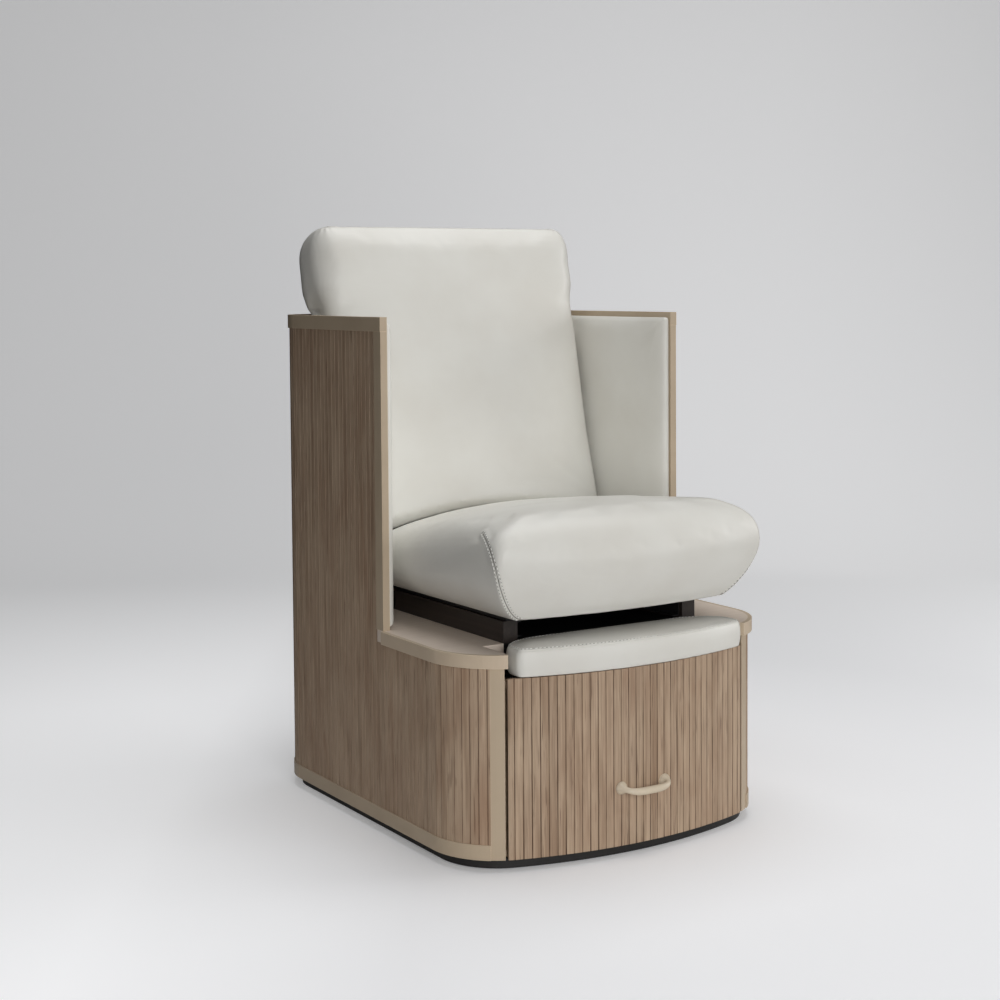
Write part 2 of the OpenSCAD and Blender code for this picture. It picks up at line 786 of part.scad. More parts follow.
module basin_plug() {
    color(dark)
        translate([0, basin_mid, basin_z]) {
            cylinder(h = basin_t, r = drain_r);
            translate([0, 0, basin_t]) cylinder(h = 3, r = drain_r + 5);
            translate([0, 0, basin_t + 3]) cylinder(h = 12, r = 4);
        }
}

// Footrest carrier -------------------------------------------------------

guide_top = core_top - 10;
guide_l = 170;
board_top = footrest_z;
board_low = board_top - footrest_board_t;
post_l = 150;

module at_posts() {
    for (side = [-1, 1]) translate([side * post_cc / 2, post_y, 0]) children();
}

module post_guides() {
    color(steel)
        at_posts()
            translate([0, 0, guide_top - guide_l])
                difference() {
                    union() {
                        cylinder(h = guide_l, r = guide_out);
                        box([-guide_out, -guide_out, 0], [guide_out, 0, guide_l]);
                    }
                    translate([0, 0, -1]) cylinder(h = guide_l + 2, r = post_r + pin_gap);
                }
}

module footrest_posts() {
    color(steel)
        at_posts()
            translate([0, 0, board_low - post_l]) cylinder(h = post_l, r = post_r);
}

module footrest_board() {
    y0 = front_y + skin_t + 5;
    y1 = footrest_rear - 6;
    plan = rounded(footrest_w / 2 - 22, y0, y1, 4, max(4, footrest_rear_r - 22));
    color(dark)
        extruded([for (p = plan) [p[0], p[1] + bow(p[0]) * (y1 - p[1]) / (y1 - y0)]],
            board_low, board_top);
}

// Seat carriage ------------------------------------------------------------

rail_wide = 14;
rail_high = 28;
rail_z = shelf_z + 7;
slider_l = plinth_l - seat_travel - 12;
rail_rear = plinth_y + plinth_l - box_t;
pan_half = plinth_out - 6;
pan_rear = hinge_y + 25;
slider_neck = 3;

module seat_rail() {
    color(steel)
        along_y(channel(plinth_in, plinth_in - rail_wide, rail_high / 2),
            plinth_y + 10, rail_rear, rail_z + rail_high / 2);
}

module seat_slider() {
    x0 = plinth_in - sheet_t - slide_gap;
    x1 = plinth_in - rail_wide - slide_gap;
    x2 = x1 - slider_neck;
    high = rail_high - 2 * nest;
    color(steel)
        along_y([[x0, 0], [x0, high], [x1, high], [x1, pan_z - rail_z - nest],
                [x2, pan_z - rail_z - nest], [x2, 0]],
            rail_rear - slider_l, rail_rear, rail_z + nest);
}

module seat_pan() {
    color(dark) box([-pan_half, plinth_y, pan_z], [pan_half, pan_rear, seat_low]);
}

ear_x = pan_half - 2 * arm_plate_t;
ear_r = arm_half + 4;
arm_x = ear_x - slide_gap;

module along_x(x0, x1) {
    translate([x0, 0, 0]) rotate([90, 0, 90]) linear_extrude(x1 - x0) children();
}

module hinge_ears() {
    color(steel)
        for (side = [0, 1]) mirror([side, 0, 0])
            translate([0, hinge_y, 0])
                difference() {
                    union() {
                        box([ear_x, -ear_r, seat_low], [ear_x + arm_plate_t, ear_r, hinge_z]);
                        translate([ear_x, 0, hinge_z]) rotate([0, 90, 0])
                            cylinder(h = arm_plate_t, r = ear_r);
                        box([ear_x, -ear_r, seat_low], [pan_half, ear_r, seat_low + 4]);
                    }
                    translate([ear_x - 1, 0, hinge_z]) rotate([0, 90, 0])
                        cylinder(h = arm_plate_t + 2, r = pin_r);
                }
}

module hinge_pins() {
    inner = arm_x - arm_plate_t - slide_gap;
    color(steel)
        for (side = [0, 1]) mirror([side, 0, 0])
            translate([0, hinge_y, hinge_z]) rotate([0, 90, 0]) {
                translate([0, 0, inner]) cylinder(h = ear_x + arm_plate_t - inner, r = pin_r);
                translate([0, 0, ear_x + arm_plate_t]) cylinder(h = 4, r = 1.6 * pin_r);
                translate([0, 0, inner - 3]) cylinder(h = 3, r = 1.6 * pin_r);
            }
}

module back_arms() {
    color(steel)
        leaning()
            for (side = [0, 1]) mirror([side, 0, 0])
                difference() {
                    union() {
                        box([arm_x - arm_plate_t, -arm_half, 0], [arm_x, arm_half, back_arm_l]);
                        translate([arm_x - arm_plate_t, 0, 0]) rotate([0, 90, 0])
                            cylinder(h = arm_plate_t, r = arm_half);
                    }
                    translate([arm_x - arm_plate_t - 1, 0, 0]) rotate([0, 90, 0])
                        cylinder(h = arm_plate_t + 2, r = pin_r + pin_gap);
                }
}

module back_board() {
    half = back_w / 2 - back_board_inset;
    board_foot = back_foot - 16;
    color(dark)
        leaning()
            box([-half, back_rear, board_foot], [half, -arm_half, board_foot + back_board_h]);
}

levelling_feet();
toe_kick_frame();
toe_kick_front();
base_board();
left() base_rail();  // base_rail_left
base_rail();  // base_rail_right
base_rail_rear();
left() side_panel();  // side_panel_left
side_panel();  // side_panel_right
rear_panel();
left() corner_panel();  // corner_panel_left
corner_panel();  // corner_panel_right
left() drawer_stile();  // drawer_stile_left
drawer_stile();  // drawer_stile_right
color(trim) left() arm_stile();  // arm_stile_left
color(trim) arm_stile();  // arm_stile_right
left() rim_side();  // rim_left
rim_side();  // rim_right
rim_rear();
shelf_board();
left() shelf_edging();  // shelf_edging_left
shelf_edging();  // shelf_edging_right
left() bay_wall();  // bay_wall_left
bay_wall();  // bay_wall_right
left() plinth();  // plinth_left
plinth();  // plinth_right
plinth_back();
left() arm_pad();  // arm_pad_left
arm_pad();  // arm_pad_right
left() runner_outer();  // runner_outer_left
runner_outer();  // runner_outer_right
runner_middles();
left() runner_inner();  // runner_inner_left
runner_inner();  // runner_inner_right
drawer_skin();
drawer_core();
drawer_subfront();
left() drawer_side();  // drawer_side_left
drawer_side();  // drawer_side_right
drawer_back();
drawer_bottom();
drawer_handle();
handle_screws();
foot_basin();
basin_plug();
post_guides();
footrest_board();
footrest_pad();
footrest_posts();
left() seat_rail();  // seat_rail_left
seat_rail();  // seat_rail_right
left() seat_slider();  // seat_slider_left
seat_slider();  // seat_slider_right
seat_pan();
seat_cushion();
hinge_ears();
hinge_pins();
back_board();
back_arms();
back_cushion();
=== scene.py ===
"""The looks of a pedicure spa chair: a slatted wooden shell round a white seat."""

import json
import math
import bpy
from mathutils import Matrix, Vector
from mathutils.bvhtree import BVHTree


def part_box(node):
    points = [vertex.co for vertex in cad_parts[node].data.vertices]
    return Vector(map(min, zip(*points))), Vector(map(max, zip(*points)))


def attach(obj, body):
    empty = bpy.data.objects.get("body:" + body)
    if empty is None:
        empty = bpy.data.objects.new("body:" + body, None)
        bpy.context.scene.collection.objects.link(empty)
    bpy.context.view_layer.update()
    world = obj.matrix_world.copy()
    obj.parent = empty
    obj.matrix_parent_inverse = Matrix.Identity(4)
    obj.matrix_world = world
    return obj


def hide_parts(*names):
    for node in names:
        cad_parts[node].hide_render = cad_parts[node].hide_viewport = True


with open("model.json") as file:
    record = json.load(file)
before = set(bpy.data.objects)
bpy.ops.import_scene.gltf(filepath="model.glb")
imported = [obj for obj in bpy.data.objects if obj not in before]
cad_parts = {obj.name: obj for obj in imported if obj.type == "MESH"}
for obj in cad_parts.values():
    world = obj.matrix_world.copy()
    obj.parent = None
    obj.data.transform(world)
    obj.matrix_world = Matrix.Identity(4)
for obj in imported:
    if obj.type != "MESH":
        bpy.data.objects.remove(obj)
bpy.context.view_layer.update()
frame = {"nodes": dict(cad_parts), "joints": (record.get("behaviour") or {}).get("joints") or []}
nodes = frame["nodes"]
MM = 0.001


def linear(rgb):
    """A colour written as 0-255 sRGB, as Blender's linear RGBA."""
    def channel(v):
        v /= 255
        return v / 12.92 if v <= 0.04045 else ((v + 0.055) / 1.055) ** 2.4
    return tuple(channel(v) for v in rgb) + (1,)


# Node trees ---------------------------------------------------------------------

MIX_A, MIX_B, MIX_RESULT = 6, 7, 2          # a Mix node's sockets for colour


class Tree:
    """A short way to write a material's nodes."""

    def __init__(self, name):
        self.material = bpy.data.materials.new(name)
        self.material.use_nodes = True
        self.tree = self.material.node_tree
        self.tree.nodes.clear()
        self.output = self.add("ShaderNodeOutputMaterial")
        self.shader = self.add("ShaderNodeBsdfPrincipled")
        self.link(self.shader.outputs[0], self.output.inputs[0])
        self.place = self.add("ShaderNodeTexCoord").outputs["Object"]

    def add(self, kind, **values):
        node = self.tree.nodes.new(kind)
        for key, value in values.items():
            setattr(node, key, value)
        return node

    def link(self, a, b):
        self.tree.links.new(a, b)

    def feed(self, socket, value):
        if isinstance(value, bpy.types.NodeSocket):
            self.link(value, socket)
        else:
            socket.default_value = value

    def math(self, operation, a, b=0.0):
        node = self.add("ShaderNodeMath", operation=operation)
        for socket, value in zip(node.inputs, (a, b)):
            self.feed(socket, value)
        return node.outputs[0]

    def scaled(self, vector, scale):
        node = self.add("ShaderNodeMapping")
        self.feed(node.inputs["Vector"], vector)
        node.inputs["Scale"].default_value = scale
        return node.outputs[0]

    def noise(self, vector, scale, detail=2.0, rough=0.5, distortion=0.0):
        node = self.add("ShaderNodeTexNoise")
        self.feed(node.inputs["Vector"], vector)
        node.inputs["Scale"].default_value = scale
        node.inputs["Detail"].default_value = detail
        node.inputs["Roughness"].default_value = rough
        node.inputs["Distortion"].default_value = distortion
        return node.outputs["Fac"]

    def ramp(self, value, *stops):
        node = self.add("ShaderNodeValToRGB")
        self.feed(node.inputs[0], value)
        elements = node.color_ramp.elements
        while len(elements) < len(stops):
            elements.new(0.5)
        for element, (at, colour) in zip(elements, stops):
            element.position = at
            element.color = colour if isinstance(colour, tuple) else (colour,) * 3 + (1,)
        return node.outputs[0]

    def mix(self, share, a, b):
        node = self.add("ShaderNodeMix", data_type="RGBA")
        self.feed(node.inputs[0], share)
        self.feed(node.inputs[MIX_A], a)
        self.feed(node.inputs[MIX_B], b)
        return node.outputs[MIX_RESULT]

    def bump(self, height, distance, strength=1.0, normal=None):
        node = self.add("ShaderNodeBump")
        self.feed(node.inputs["Height"], height)
        node.inputs["Distance"].default_value = distance
        node.inputs["Strength"].default_value = strength
        if normal:
            self.feed(node.inputs["Normal"], normal)
        return node.outputs[0]

    def finish(self, colour, rough, normal=None, **sockets):
        self.feed(self.shader.inputs["Base Color"], colour)
        self.feed(self.shader.inputs["Roughness"], rough)
        if normal:
            self.feed(self.shader.inputs["Normal"], normal)
        for name, value in sockets.items():
            self.shader.inputs[name.replace("_", " ")].default_value = value
        return self.material


# Materials ----------------------------------------------------------------------

def streaks(t, across, length, detail, rough=0.55, bend=0.0):
    """Noise drawn out along the upright grain, in features a metre across and along it."""
    return t.noise(t.scaled(t.place, (across, across, length)), 1, detail, rough, bend)


WOOD_LIGHT, WOOD_MID, WOOD_DARK = (188, 165, 141), (176, 152, 129), (158, 134, 111)
# the last colour is the grooves': their dark joints together with painted shade
WOOD_PORE, WOOD_STAIN, GROOVE_JOINT_AND_SHADE = (98, 74, 57), (142, 108, 84), (84, 62, 46)
SLAT_PITCH = 16 * MM
SLAT_TONE, SLAT_SPREAD = 0.965, 0.07        # the darkest slat's value, and how far they vary
GROOVE_CORE, GROOVE_END = 0.055, 0.1        # half a groove's width, as a share of the pitch


def slatted_wood(name, slat, groove_shade):
    """Limed walnut veneer on narrow slats: upright grain, dark pores, reddish stains,
    slats a little different from each other, and grooves darker than the slats: partly
    dark joints and partly painted shade in the grooves, as much as groove_shade gives.

    slat(t) is the length round the shell that the slats are counted along."""
    t = Tree(name)
    figure = streaks(t, 58, 2.0, 4, 0.6, 0.5)
    fibre = streaks(t, 380, 9, 3)
    pores = streaks(t, 250, 11, 3, 0.6)
    knots = streaks(t, 44, 5.5, 3, 0.6, 0.3)
    stain = streaks(t, 24, 4.5, 2, 0.5, 0.4)
    cloud = streaks(t, 15, 6, 3, 0.6, 0.4)
    colour = t.ramp(figure, (0.3, linear(WOOD_DARK)), (0.5, linear(WOOD_LIGHT)),
                    (0.74, linear(WOOD_MID)))
    # each tone comes in where its noise goes from the first number to the second
    for noise, none_at, full_at, most, tone in (
            (cloud, 0.4, 0.7, 0.34, WOOD_STAIN), (fibre, 0.59, 0.35, 0.27, WOOD_PORE),
            (pores, 0.39, 0.28, 0.68, WOOD_PORE), (knots, 0.36, 0.24, 0.55, WOOD_PORE),
            (stain, 0.6, 0.76, 0.5, WOOD_STAIN)):
        shown = t.ramp(noise, *sorted([(none_at, 0.0), (full_at, 1.0)]))
        colour = t.mix(t.math("MULTIPLY", shown, most), colour, linear(tone))
    place = t.math("DIVIDE", slat(t), SLAT_PITCH)
    share, which = t.math("FRACT", place), t.math("FLOOR", place)
    white = t.add("ShaderNodeTexWhiteNoise", noise_dimensions="1D")
    t.feed(white.inputs["W"], which)
    toned = t.add("ShaderNodeHueSaturation")
    value = t.math("ADD", t.math("MULTIPLY", white.outputs["Value"], SLAT_SPREAD), SLAT_TONE)
    t.feed(toned.inputs["Value"], value)
    t.feed(toned.inputs["Color"], colour)
    edge = t.math("MINIMUM", share, t.math("SUBTRACT", 1.0, share))
    patchy = t.ramp(streaks(t, 70, 9, 3, 0.7), (0.36, 0.12), (0.62, 1.0))
    # painted shade: the grooves are painted darker, for their dark joints and for the shade that
    # falls in them
    groove = t.math("MULTIPLY", t.ramp(edge, (GROOVE_CORE, 1.0), (GROOVE_END, 0.0)), patchy)
    final = t.mix(t.math("MULTIPLY", groove, groove_shade), toned.outputs[0],
                  linear(GROOVE_JOINT_AND_SHADE))
    pits = t.ramp(pores, (0.27, 1.0), (0.4, 0.0))
    height = t.math("SUBTRACT", t.math("MULTIPLY", fibre, 0.4), pits)
    rough = t.math("ADD", t.math("MULTIPLY", figure, 0.14), 0.5)
    return t.finish(final, rough, t.bump(height, 0.00025, 0.55), Specular_IOR_Level=0.3)


EDGE_WEAR_AND_HIGHLIGHT = 1.6 * MM                        # how far in from an edge the paint is lightened, as rubbed wear and as a painted highlight


def painted(name, rgb, darker, rough=0.42):
    """Satin paint or edge band: faint mottling, fine speckle, and lighter edges, partly rubbed wear
    and partly a painted highlight.
    """
    t = Tree(name)
    cloud = t.noise(t.place, 9, 3, 0.55)
    speck = t.noise(t.place, 900, 2, 0.5)
    colour = t.mix(t.ramp(cloud, (0.35, 0.0), (0.7, 1.0)), linear(rgb), linear(darker))
    rounded_edge = t.add("ShaderNodeBevel", samples=4)
    rounded_edge.inputs["Radius"].default_value = EDGE_WEAR_AND_HIGHLIGHT
    flat = t.add("ShaderNodeVectorMath", operation="DOT_PRODUCT")
    t.link(rounded_edge.outputs[0], flat.inputs[0])
    t.link(t.add("ShaderNodeNewGeometry").outputs["Normal"], flat.inputs[1])
    edge = t.ramp(flat.outputs["Value"], (0.82, 1.0), (0.97, 0.0))
    worn = t.ramp(t.noise(t.place, 60, 2, 0.5), (0.3, 0.3), (0.6, 0.6))
    # the edges are lightened: partly rubbed wear, partly a painted highlight where a rounded edge
    # catches the light
    rubbed_and_highlit = t.math("MULTIPLY", edge, worn)
    colour = t.mix(rubbed_and_highlit, colour, linear([min(255, v * 1.25 + 8) for v in rgb]))
    shine = t.math("ADD", t.math("MULTIPLY", cloud, 0.12), rough - 0.06)
    return t.finish(colour, shine, t.bump(speck, 0.00006, 0.5))


def vinyl(name, rgb, shade):
    """Smooth off-white upholstery vinyl: fine pebbled grain, slight mottling, soft sheen."""
    t = Tree(name)
    pebble = t.add("ShaderNodeTexVoronoi", feature="F1")
    t.feed(pebble.inputs["Vector"], t.place)
    pebble.inputs["Scale"].default_value = 900
    fine = t.noise(t.place, 1700, 2, 0.5)
    slow = t.noise(t.place, 7, 3, 0.5)
    wrinkle = t.noise(t.scaled(t.place, (1.0, 1.0, 2.2)), 16, 2, 0.45, 0.6)
    colour = t.mix(t.ramp(slow, (0.35, 0.0), (0.7, 1.0)), linear(rgb), linear(shade))
    height = t.math("ADD", t.math("MULTIPLY", pebble.outputs["Distance"], 0.7),
                    t.math("MULTIPLY", fine, 0.4))
    soft = t.bump(wrinkle, 0.0012, 0.35)
    shine = t.math("ADD", t.math("MULTIPLY", slow, 0.1), 0.36)
    return t.finish(colour, shine, t.bump(height, 0.00007, 0.55, soft),
                    Specular_IOR_Level=0.45, Coat_Weight=0.08, Coat_Roughness=0.35)


def metal(name, rgb, rough, brushed=True):
    """Zinc-plated or painted steel with fine marks along the piece."""
    t = Tree(name)
    marks = t.noise(t.scaled(t.place, (900, 12, 900)), 1, 2, 0.5)
    cloud = t.noise(t.place, 14, 3, 0.6)
    colour = t.mix(t.math("MULTIPLY", cloud, 0.5), linear(rgb), linear([v * 0.8 for v in rgb]))
    shine = t.math("ADD", t.math("MULTIPLY", marks, 0.14), rough)
    return t.finish(colour, shine, t.bump(marks, 0.00004, 0.4), Metallic=1.0 if brushed else 0.0)


def board(name, rgb, darker, grain="x", rough=0.55, painted_shade_place=None):
    """Plain painted or stained board with faint grain, and matt black painted shade where the given
    place function says.
    """
    t = Tree(name)
    k = {"x": 0, "y": 1, "z": 2}[grain]
    scale = [160, 160, 160]
    scale[k] = 5
    fibre = t.noise(t.scaled(t.place, scale), 1, 3, 0.55)
    cloud = t.noise(t.place, 11, 3, 0.5)
    colour = t.mix(t.ramp(fibre, (0.3, 0.0), (0.7, 1.0)), linear(rgb), linear(darker))
    colour = t.mix(t.math("MULTIPLY", cloud, 0.25), colour, linear(darker))
    # painted shade: the board is made matt black where the seat's shade falls on it
    if painted_shade_place:
        colour = t.mix(painted_shade_place(t), colour, linear(BLACK))
    return t.finish(colour, t.math("ADD", t.math("MULTIPLY", fibre, 0.12), rough - 0.06),
                    t.bump(fibre, 0.00012, 0.5))


def acrylic(name, rgb):
    """Moulded white basin plastic: smooth, glossy, with a faint orange peel."""
    t = Tree(name)
    peel = t.noise(t.place, 260, 2, 0.5)
    cloud = t.noise(t.place, 6, 2, 0.5)
    colour = t.mix(cloud, linear(rgb), linear([v * 0.95 for v in rgb]))
    return t.finish(colour, t.math("ADD", t.math("MULTIPLY", cloud, 0.06), 0.16),
                    t.bump(peel, 0.00008, 0.3), Coat_Weight=0.4, Coat_Roughness=0.08)


# The base's outline, as the construction has it, for the slats' places
FRONT_R, CORNER_R, BACK_R = 820 * MM, 135 * MM, 116 * MM
HALF_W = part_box("corner_panel_right")[1].x
FRONT_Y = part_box("drawer_skin")[0].y
CORNER_CX = HALF_W - CORNER_R
FRONT_TURN = math.asin(CORNER_CX / (FRONT_R - CORNER_R))
CORNER_CY = FRONT_Y + FRONT_R - (FRONT_R - CORNER_R) * math.cos(FRONT_TURN)
BACK_CX = HALF_W - BACK_R
BACK_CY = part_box("rear_panel")[1].y - BACK_R
# the length round it from the front's middle to where the corner, side and back corner begin
S_FRONT = FRONT_R * FRONT_TURN
S_CORNER = S_FRONT + CORNER_R * (math.pi / 2 - FRONT_TURN)
S_SIDE = S_CORNER + BACK_CY - CORNER_CY


def split(t):
    """The place's three coordinates."""
    node = t.add("ShaderNodeSeparateXYZ")
    t.feed(node.inputs[0], t.place)
    return node.outputs


def front_slats(t):
    """Length along the bent front from its middle."""
    x, y, _ = split(t)
    turn = t.math("ARCTAN2", x, t.math("SUBTRACT", FRONT_Y + FRONT_R, y))
    return t.math("MULTIPLY", turn, FRONT_R)


def corner_slats(t):
    """Length along the corner, and past it along the straight side."""
    x, y, _ = split(t)
    out = t.math("SUBTRACT", t.math("ABSOLUTE", x), CORNER_CX)
    ahead = t.math("MAXIMUM", t.math("SUBTRACT", CORNER_CY, y), 0.0)
    turn = t.math("ARCTAN2", out, ahead)
    turned = t.math("SUBTRACT", turn, FRONT_TURN)
    bent = t.math("ADD", t.math("MULTIPLY", turned, CORNER_R), S_FRONT)
    past = t.math("MAXIMUM", t.math("SUBTRACT", y, CORNER_CY), 0.0)
    return t.math("ADD", bent, past)


def side_slats(t):
    """Length along the straight side."""
    _, y, _ = split(t)
    return t.math("ADD", t.math("SUBTRACT", y, CORNER_CY), S_CORNER)


def rear_slats(t):
    """Length along the back corner, then along the back."""
    x, y, _ = split(t)
    side = t.math("ABSOLUTE", x)
    behind = t.math("MAXIMUM", t.math("SUBTRACT", y, BACK_CY), 0.0)
    out = t.math("MAXIMUM", t.math("SUBTRACT", side, BACK_CX), 0.0)
    turn = t.math("ARCTAN2", behind, out)
    bent = t.math("ADD", t.math("MULTIPLY", turn, BACK_R), S_SIDE)
    along = t.math("MAXIMUM", t.math("SUBTRACT", BACK_CX, side), 0.0)
    return t.math("ADD", bent, along)


PLINTH_X = -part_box("plinth_left")[0].x
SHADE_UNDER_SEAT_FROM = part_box("footrest_pad")[1].y - 40 * MM     # where the shelf's painted shade under the seat begins, a little ahead of the notch's rear


def shade_under_seat(t):
    """Painted shade under the seat: 1 on the shelf's top between the plinths and just ahead of
    them, and 0 elsewhere.
    """
    x, y, _ = split(t)
    inside = t.math("LESS_THAN", t.math("ABSOLUTE", x), PLINTH_X)
    return t.math("MULTIPLY", inside, t.math("GREATER_THAN", y, SHADE_UNDER_SEAT_FROM))


WHITE, WHITE_SHADE = (226, 225, 219), (220, 218, 211)
BLACK = (15, 14, 14)
finishes = {
    # the grooves' painted shade is set per panel, strongest on the front and faintest on the sides
    "slats_front": slatted_wood("slats_front", front_slats, 0.68),
    "slats_corner": slatted_wood("slats_corner", corner_slats, 0.5),
    "slats_side": slatted_wood("slats_side", side_slats, 0.3),
    "slats_rear": slatted_wood("slats_rear", rear_slats, 0.4),
    # the shelf wears painted shade, matt black, between the plinths under the seat
    "shelf": board("shelf_laminate", (234, 220, 206), (226, 211, 197), "x", 0.4,
                   shade_under_seat),
    "trim": painted("trim_paint", (190, 172, 148), (182, 164, 140)),
    "edging": painted("shelf_edge_band", (205, 187, 164), (197, 179, 156)),
    "toe": board("toe_kick_black", (24, 22, 21), BLACK, "x", 0.5),
    "plinth": board("plinth_stain", (46, 37, 32), (34, 27, 24), "y", 0.5),
    "inner": board("inner_board", (186, 164, 138), (168, 146, 120), "y", 0.5),
    "black_board": board("black_board", (30, 29, 29), (22, 21, 21), "x", 0.6),
    "zinc": metal("zinc_steel", (176, 178, 181), 0.28),
    "black_steel": metal("black_steel", (30, 30, 31), 0.38, False),
    "vinyl": vinyl("white_vinyl", WHITE, WHITE_SHADE),
    "thread": painted("white_thread", (240, 239, 235), (230, 228, 223), 0.6),
    "crease": painted("seam_shadow", (98, 94, 88), (84, 80, 75), 0.7),
    "basin": acrylic("basin_acrylic", (238, 238, 234)),
    "rubber": painted("black_rubber", (26, 26, 26), (18, 18, 18), 0.7),
    "handle": painted("handle_paint", (216, 202, 180), (206, 192, 170), 0.26),
}
# which pieces wear each finish, by how their names start; the rest wear vinyl
wearers = {
    "slats_front": ("drawer_skin",), "slats_corner": ("corner_panel",),
    "slats_side": ("side_panel",), "slats_rear": ("rear_panel",),
    "trim": ("base_rail", "rim_", "drawer_stile", "arm_stile"),
    "edging": ("shelf_edging",), "shelf": ("shelf_board",), "toe": ("toe_kick",),
    "plinth": ("plinth",), "handle": ("drawer_handle",), "basin": ("foot_basin",),
    "inner": ("base_board", "bay_wall", "drawer_core", "drawer_subfront", "drawer_side",
              "drawer_back", "drawer_bottom"),
    "black_board": ("seat_pan", "back_board", "footrest_board"),
    "black_steel": ("hinge_ears", "back_arms", "post_guides", "seat_rail", "seat_slider"),
    "zinc": ("hinge_pins", "handle_screws", "footrest_posts", "runner_"),
    "rubber": ("levelling_feet", "basin_plug"),
}


def dress(obj, finish):
    """Gives an object one finish."""
    obj.data.materials.clear()
    obj.data.materials.append(finishes[finish])


def soften(obj, width):
    """Rounds a piece's hard edges."""
    bevel = obj.modifiers.new("round_edges", "BEVEL")
    bevel.width = width
    bevel.segments = 2
    bevel.limit_method = "ANGLE"
    bevel.angle_limit = math.radians(38)
    bevel.harden_normals = True


# the width of the rounding, in mm, by how a piece's name starts
ROUNDED = {
    "rim_": 2.2, "base_rail": 1.6, "shelf_edging": 2.6, "drawer_stile": 1.2, "arm_stile": 1.2,
    "plinth": 1.5, "drawer_side": 1.0, "drawer_back": 1.0, "bay_wall": 0.8, "shelf_board": 0.8,
}
for name, obj in nodes.items():
    worn = [finish for finish, starts in wearers.items() if name.startswith(starts)]
    dress(obj, worn[0] if worn else "vinyl")
    for start, width in ROUNDED.items():
        if name.startswith(start):
            soften(obj, width * MM)


# Mesh helpers -------------------------------------------------------------------

def mesh_object(name, verts, faces, finish):
    """A new smooth-shaded object with one finish."""
    mesh = bpy.data.meshes.new(name)
    mesh.from_pydata([tuple(v) for v in verts], [], faces)
    mesh.update()
    obj = bpy.data.objects.new(name, mesh)
    bpy.context.scene.collection.objects.link(obj)
    for polygon in mesh.polygons:
        polygon.use_smooth = True
    dress(obj, finish)
    return obj


def grid_faces(rows, columns):
    """The faces between rings of points, each ring closed on itself."""
    return [(r * columns + c, r * columns + (c + 1) % columns,
             (r + 1) * columns + (c + 1) % columns, (r + 1) * columns + c)
            for r in range(rows - 1) for c in range(columns)]


def skin(rings):
    """Vertices and faces of a closed skin over rings of as many points each."""
    count = len(rings[0])
    verts = [p for ring in rings for p in ring]
    faces = grid_faces(len(rings), count)
    for ring, turned in ((0, True), (len(rings) - 1, False)):
        first = ring * count
        centre = sum((Vector(verts[first + i]) for i in range(count)), Vector()) / count
        verts.append(tuple(centre))
        middle = len(verts) - 1
        for i in range(count):
            a, b = first + i, first + (i + 1) % count
            faces.append((middle, b, a) if turned else (middle, a, b))
    return verts, faces


N_EDGE, N_SIDE, N_TURN = 26, 20, 8          # steps along a ring's front, side and corner
FRONT_RIGHT = N_EDGE - 1 + N_TURN // 2      # index of the middle of the front right corner
FRONT_LEFT = -1 - N_TURN // 2               # and of the front left one


def rounded(a, y0, y1, front_c, rear_c):
    """A rounded rectangle from its front left corner's end, anticlockwise from above."""
    points = []

    def run(p, q, n):
        points.extend((p[0] + (q[0] - p[0]) * i / n, p[1] + (q[1] - p[1]) * i / n)
                      for i in range(1, n))

    def turn(cx, cy, c, start):
        points.extend((cx + c * math.cos(math.radians(start + 90 * i / N_TURN)),
                       cy + c * math.sin(math.radians(start + 90 * i / N_TURN)))
                      for i in range(N_TURN + 1))

    run((-a + front_c, y0), (a - front_c, y0), N_EDGE)
    turn(a - front_c, y0 + front_c, front_c, -90)
    run((a, y0 + front_c), (a, y1 - rear_c), N_SIDE)
    turn(a - rear_c, y1 - rear_c, rear_c, 0)
    run((a - rear_c, y1), (-a + rear_c, y1), N_EDGE)
    turn(-a + rear_c, y1 - rear_c, rear_c, 90)
    run((-a, y1 - rear_c), (-a, y0 + front_c), N_SIDE)
    turn(-a + front_c, y0 + front_c, front_c, 180)
    return points


def bow(x, radius):
    """How far back a bow of that radius lies at x."""
    return radius - math.sqrt(radius * radius - x * x)


def applied(obj):
    """Puts an object's modifiers into its mesh."""
    graph = bpy.context.evaluated_depsgraph_get()
    mesh = bpy.data.meshes.new_from_object(obj.evaluated_get(graph))
    obj.modifiers.clear()
    obj.data = mesh
    for polygon in mesh.polygons:
        polygon.use_smooth = True


PUFF_FRAMES = 20
PINNED = 0.99                               # points held more firmly than this stay put


def quarter(count):
    """A quarter turn's angles, in as many equal steps, without the first."""
    return [math.pi / 2 * i / count for i in range(1, count + 1)]


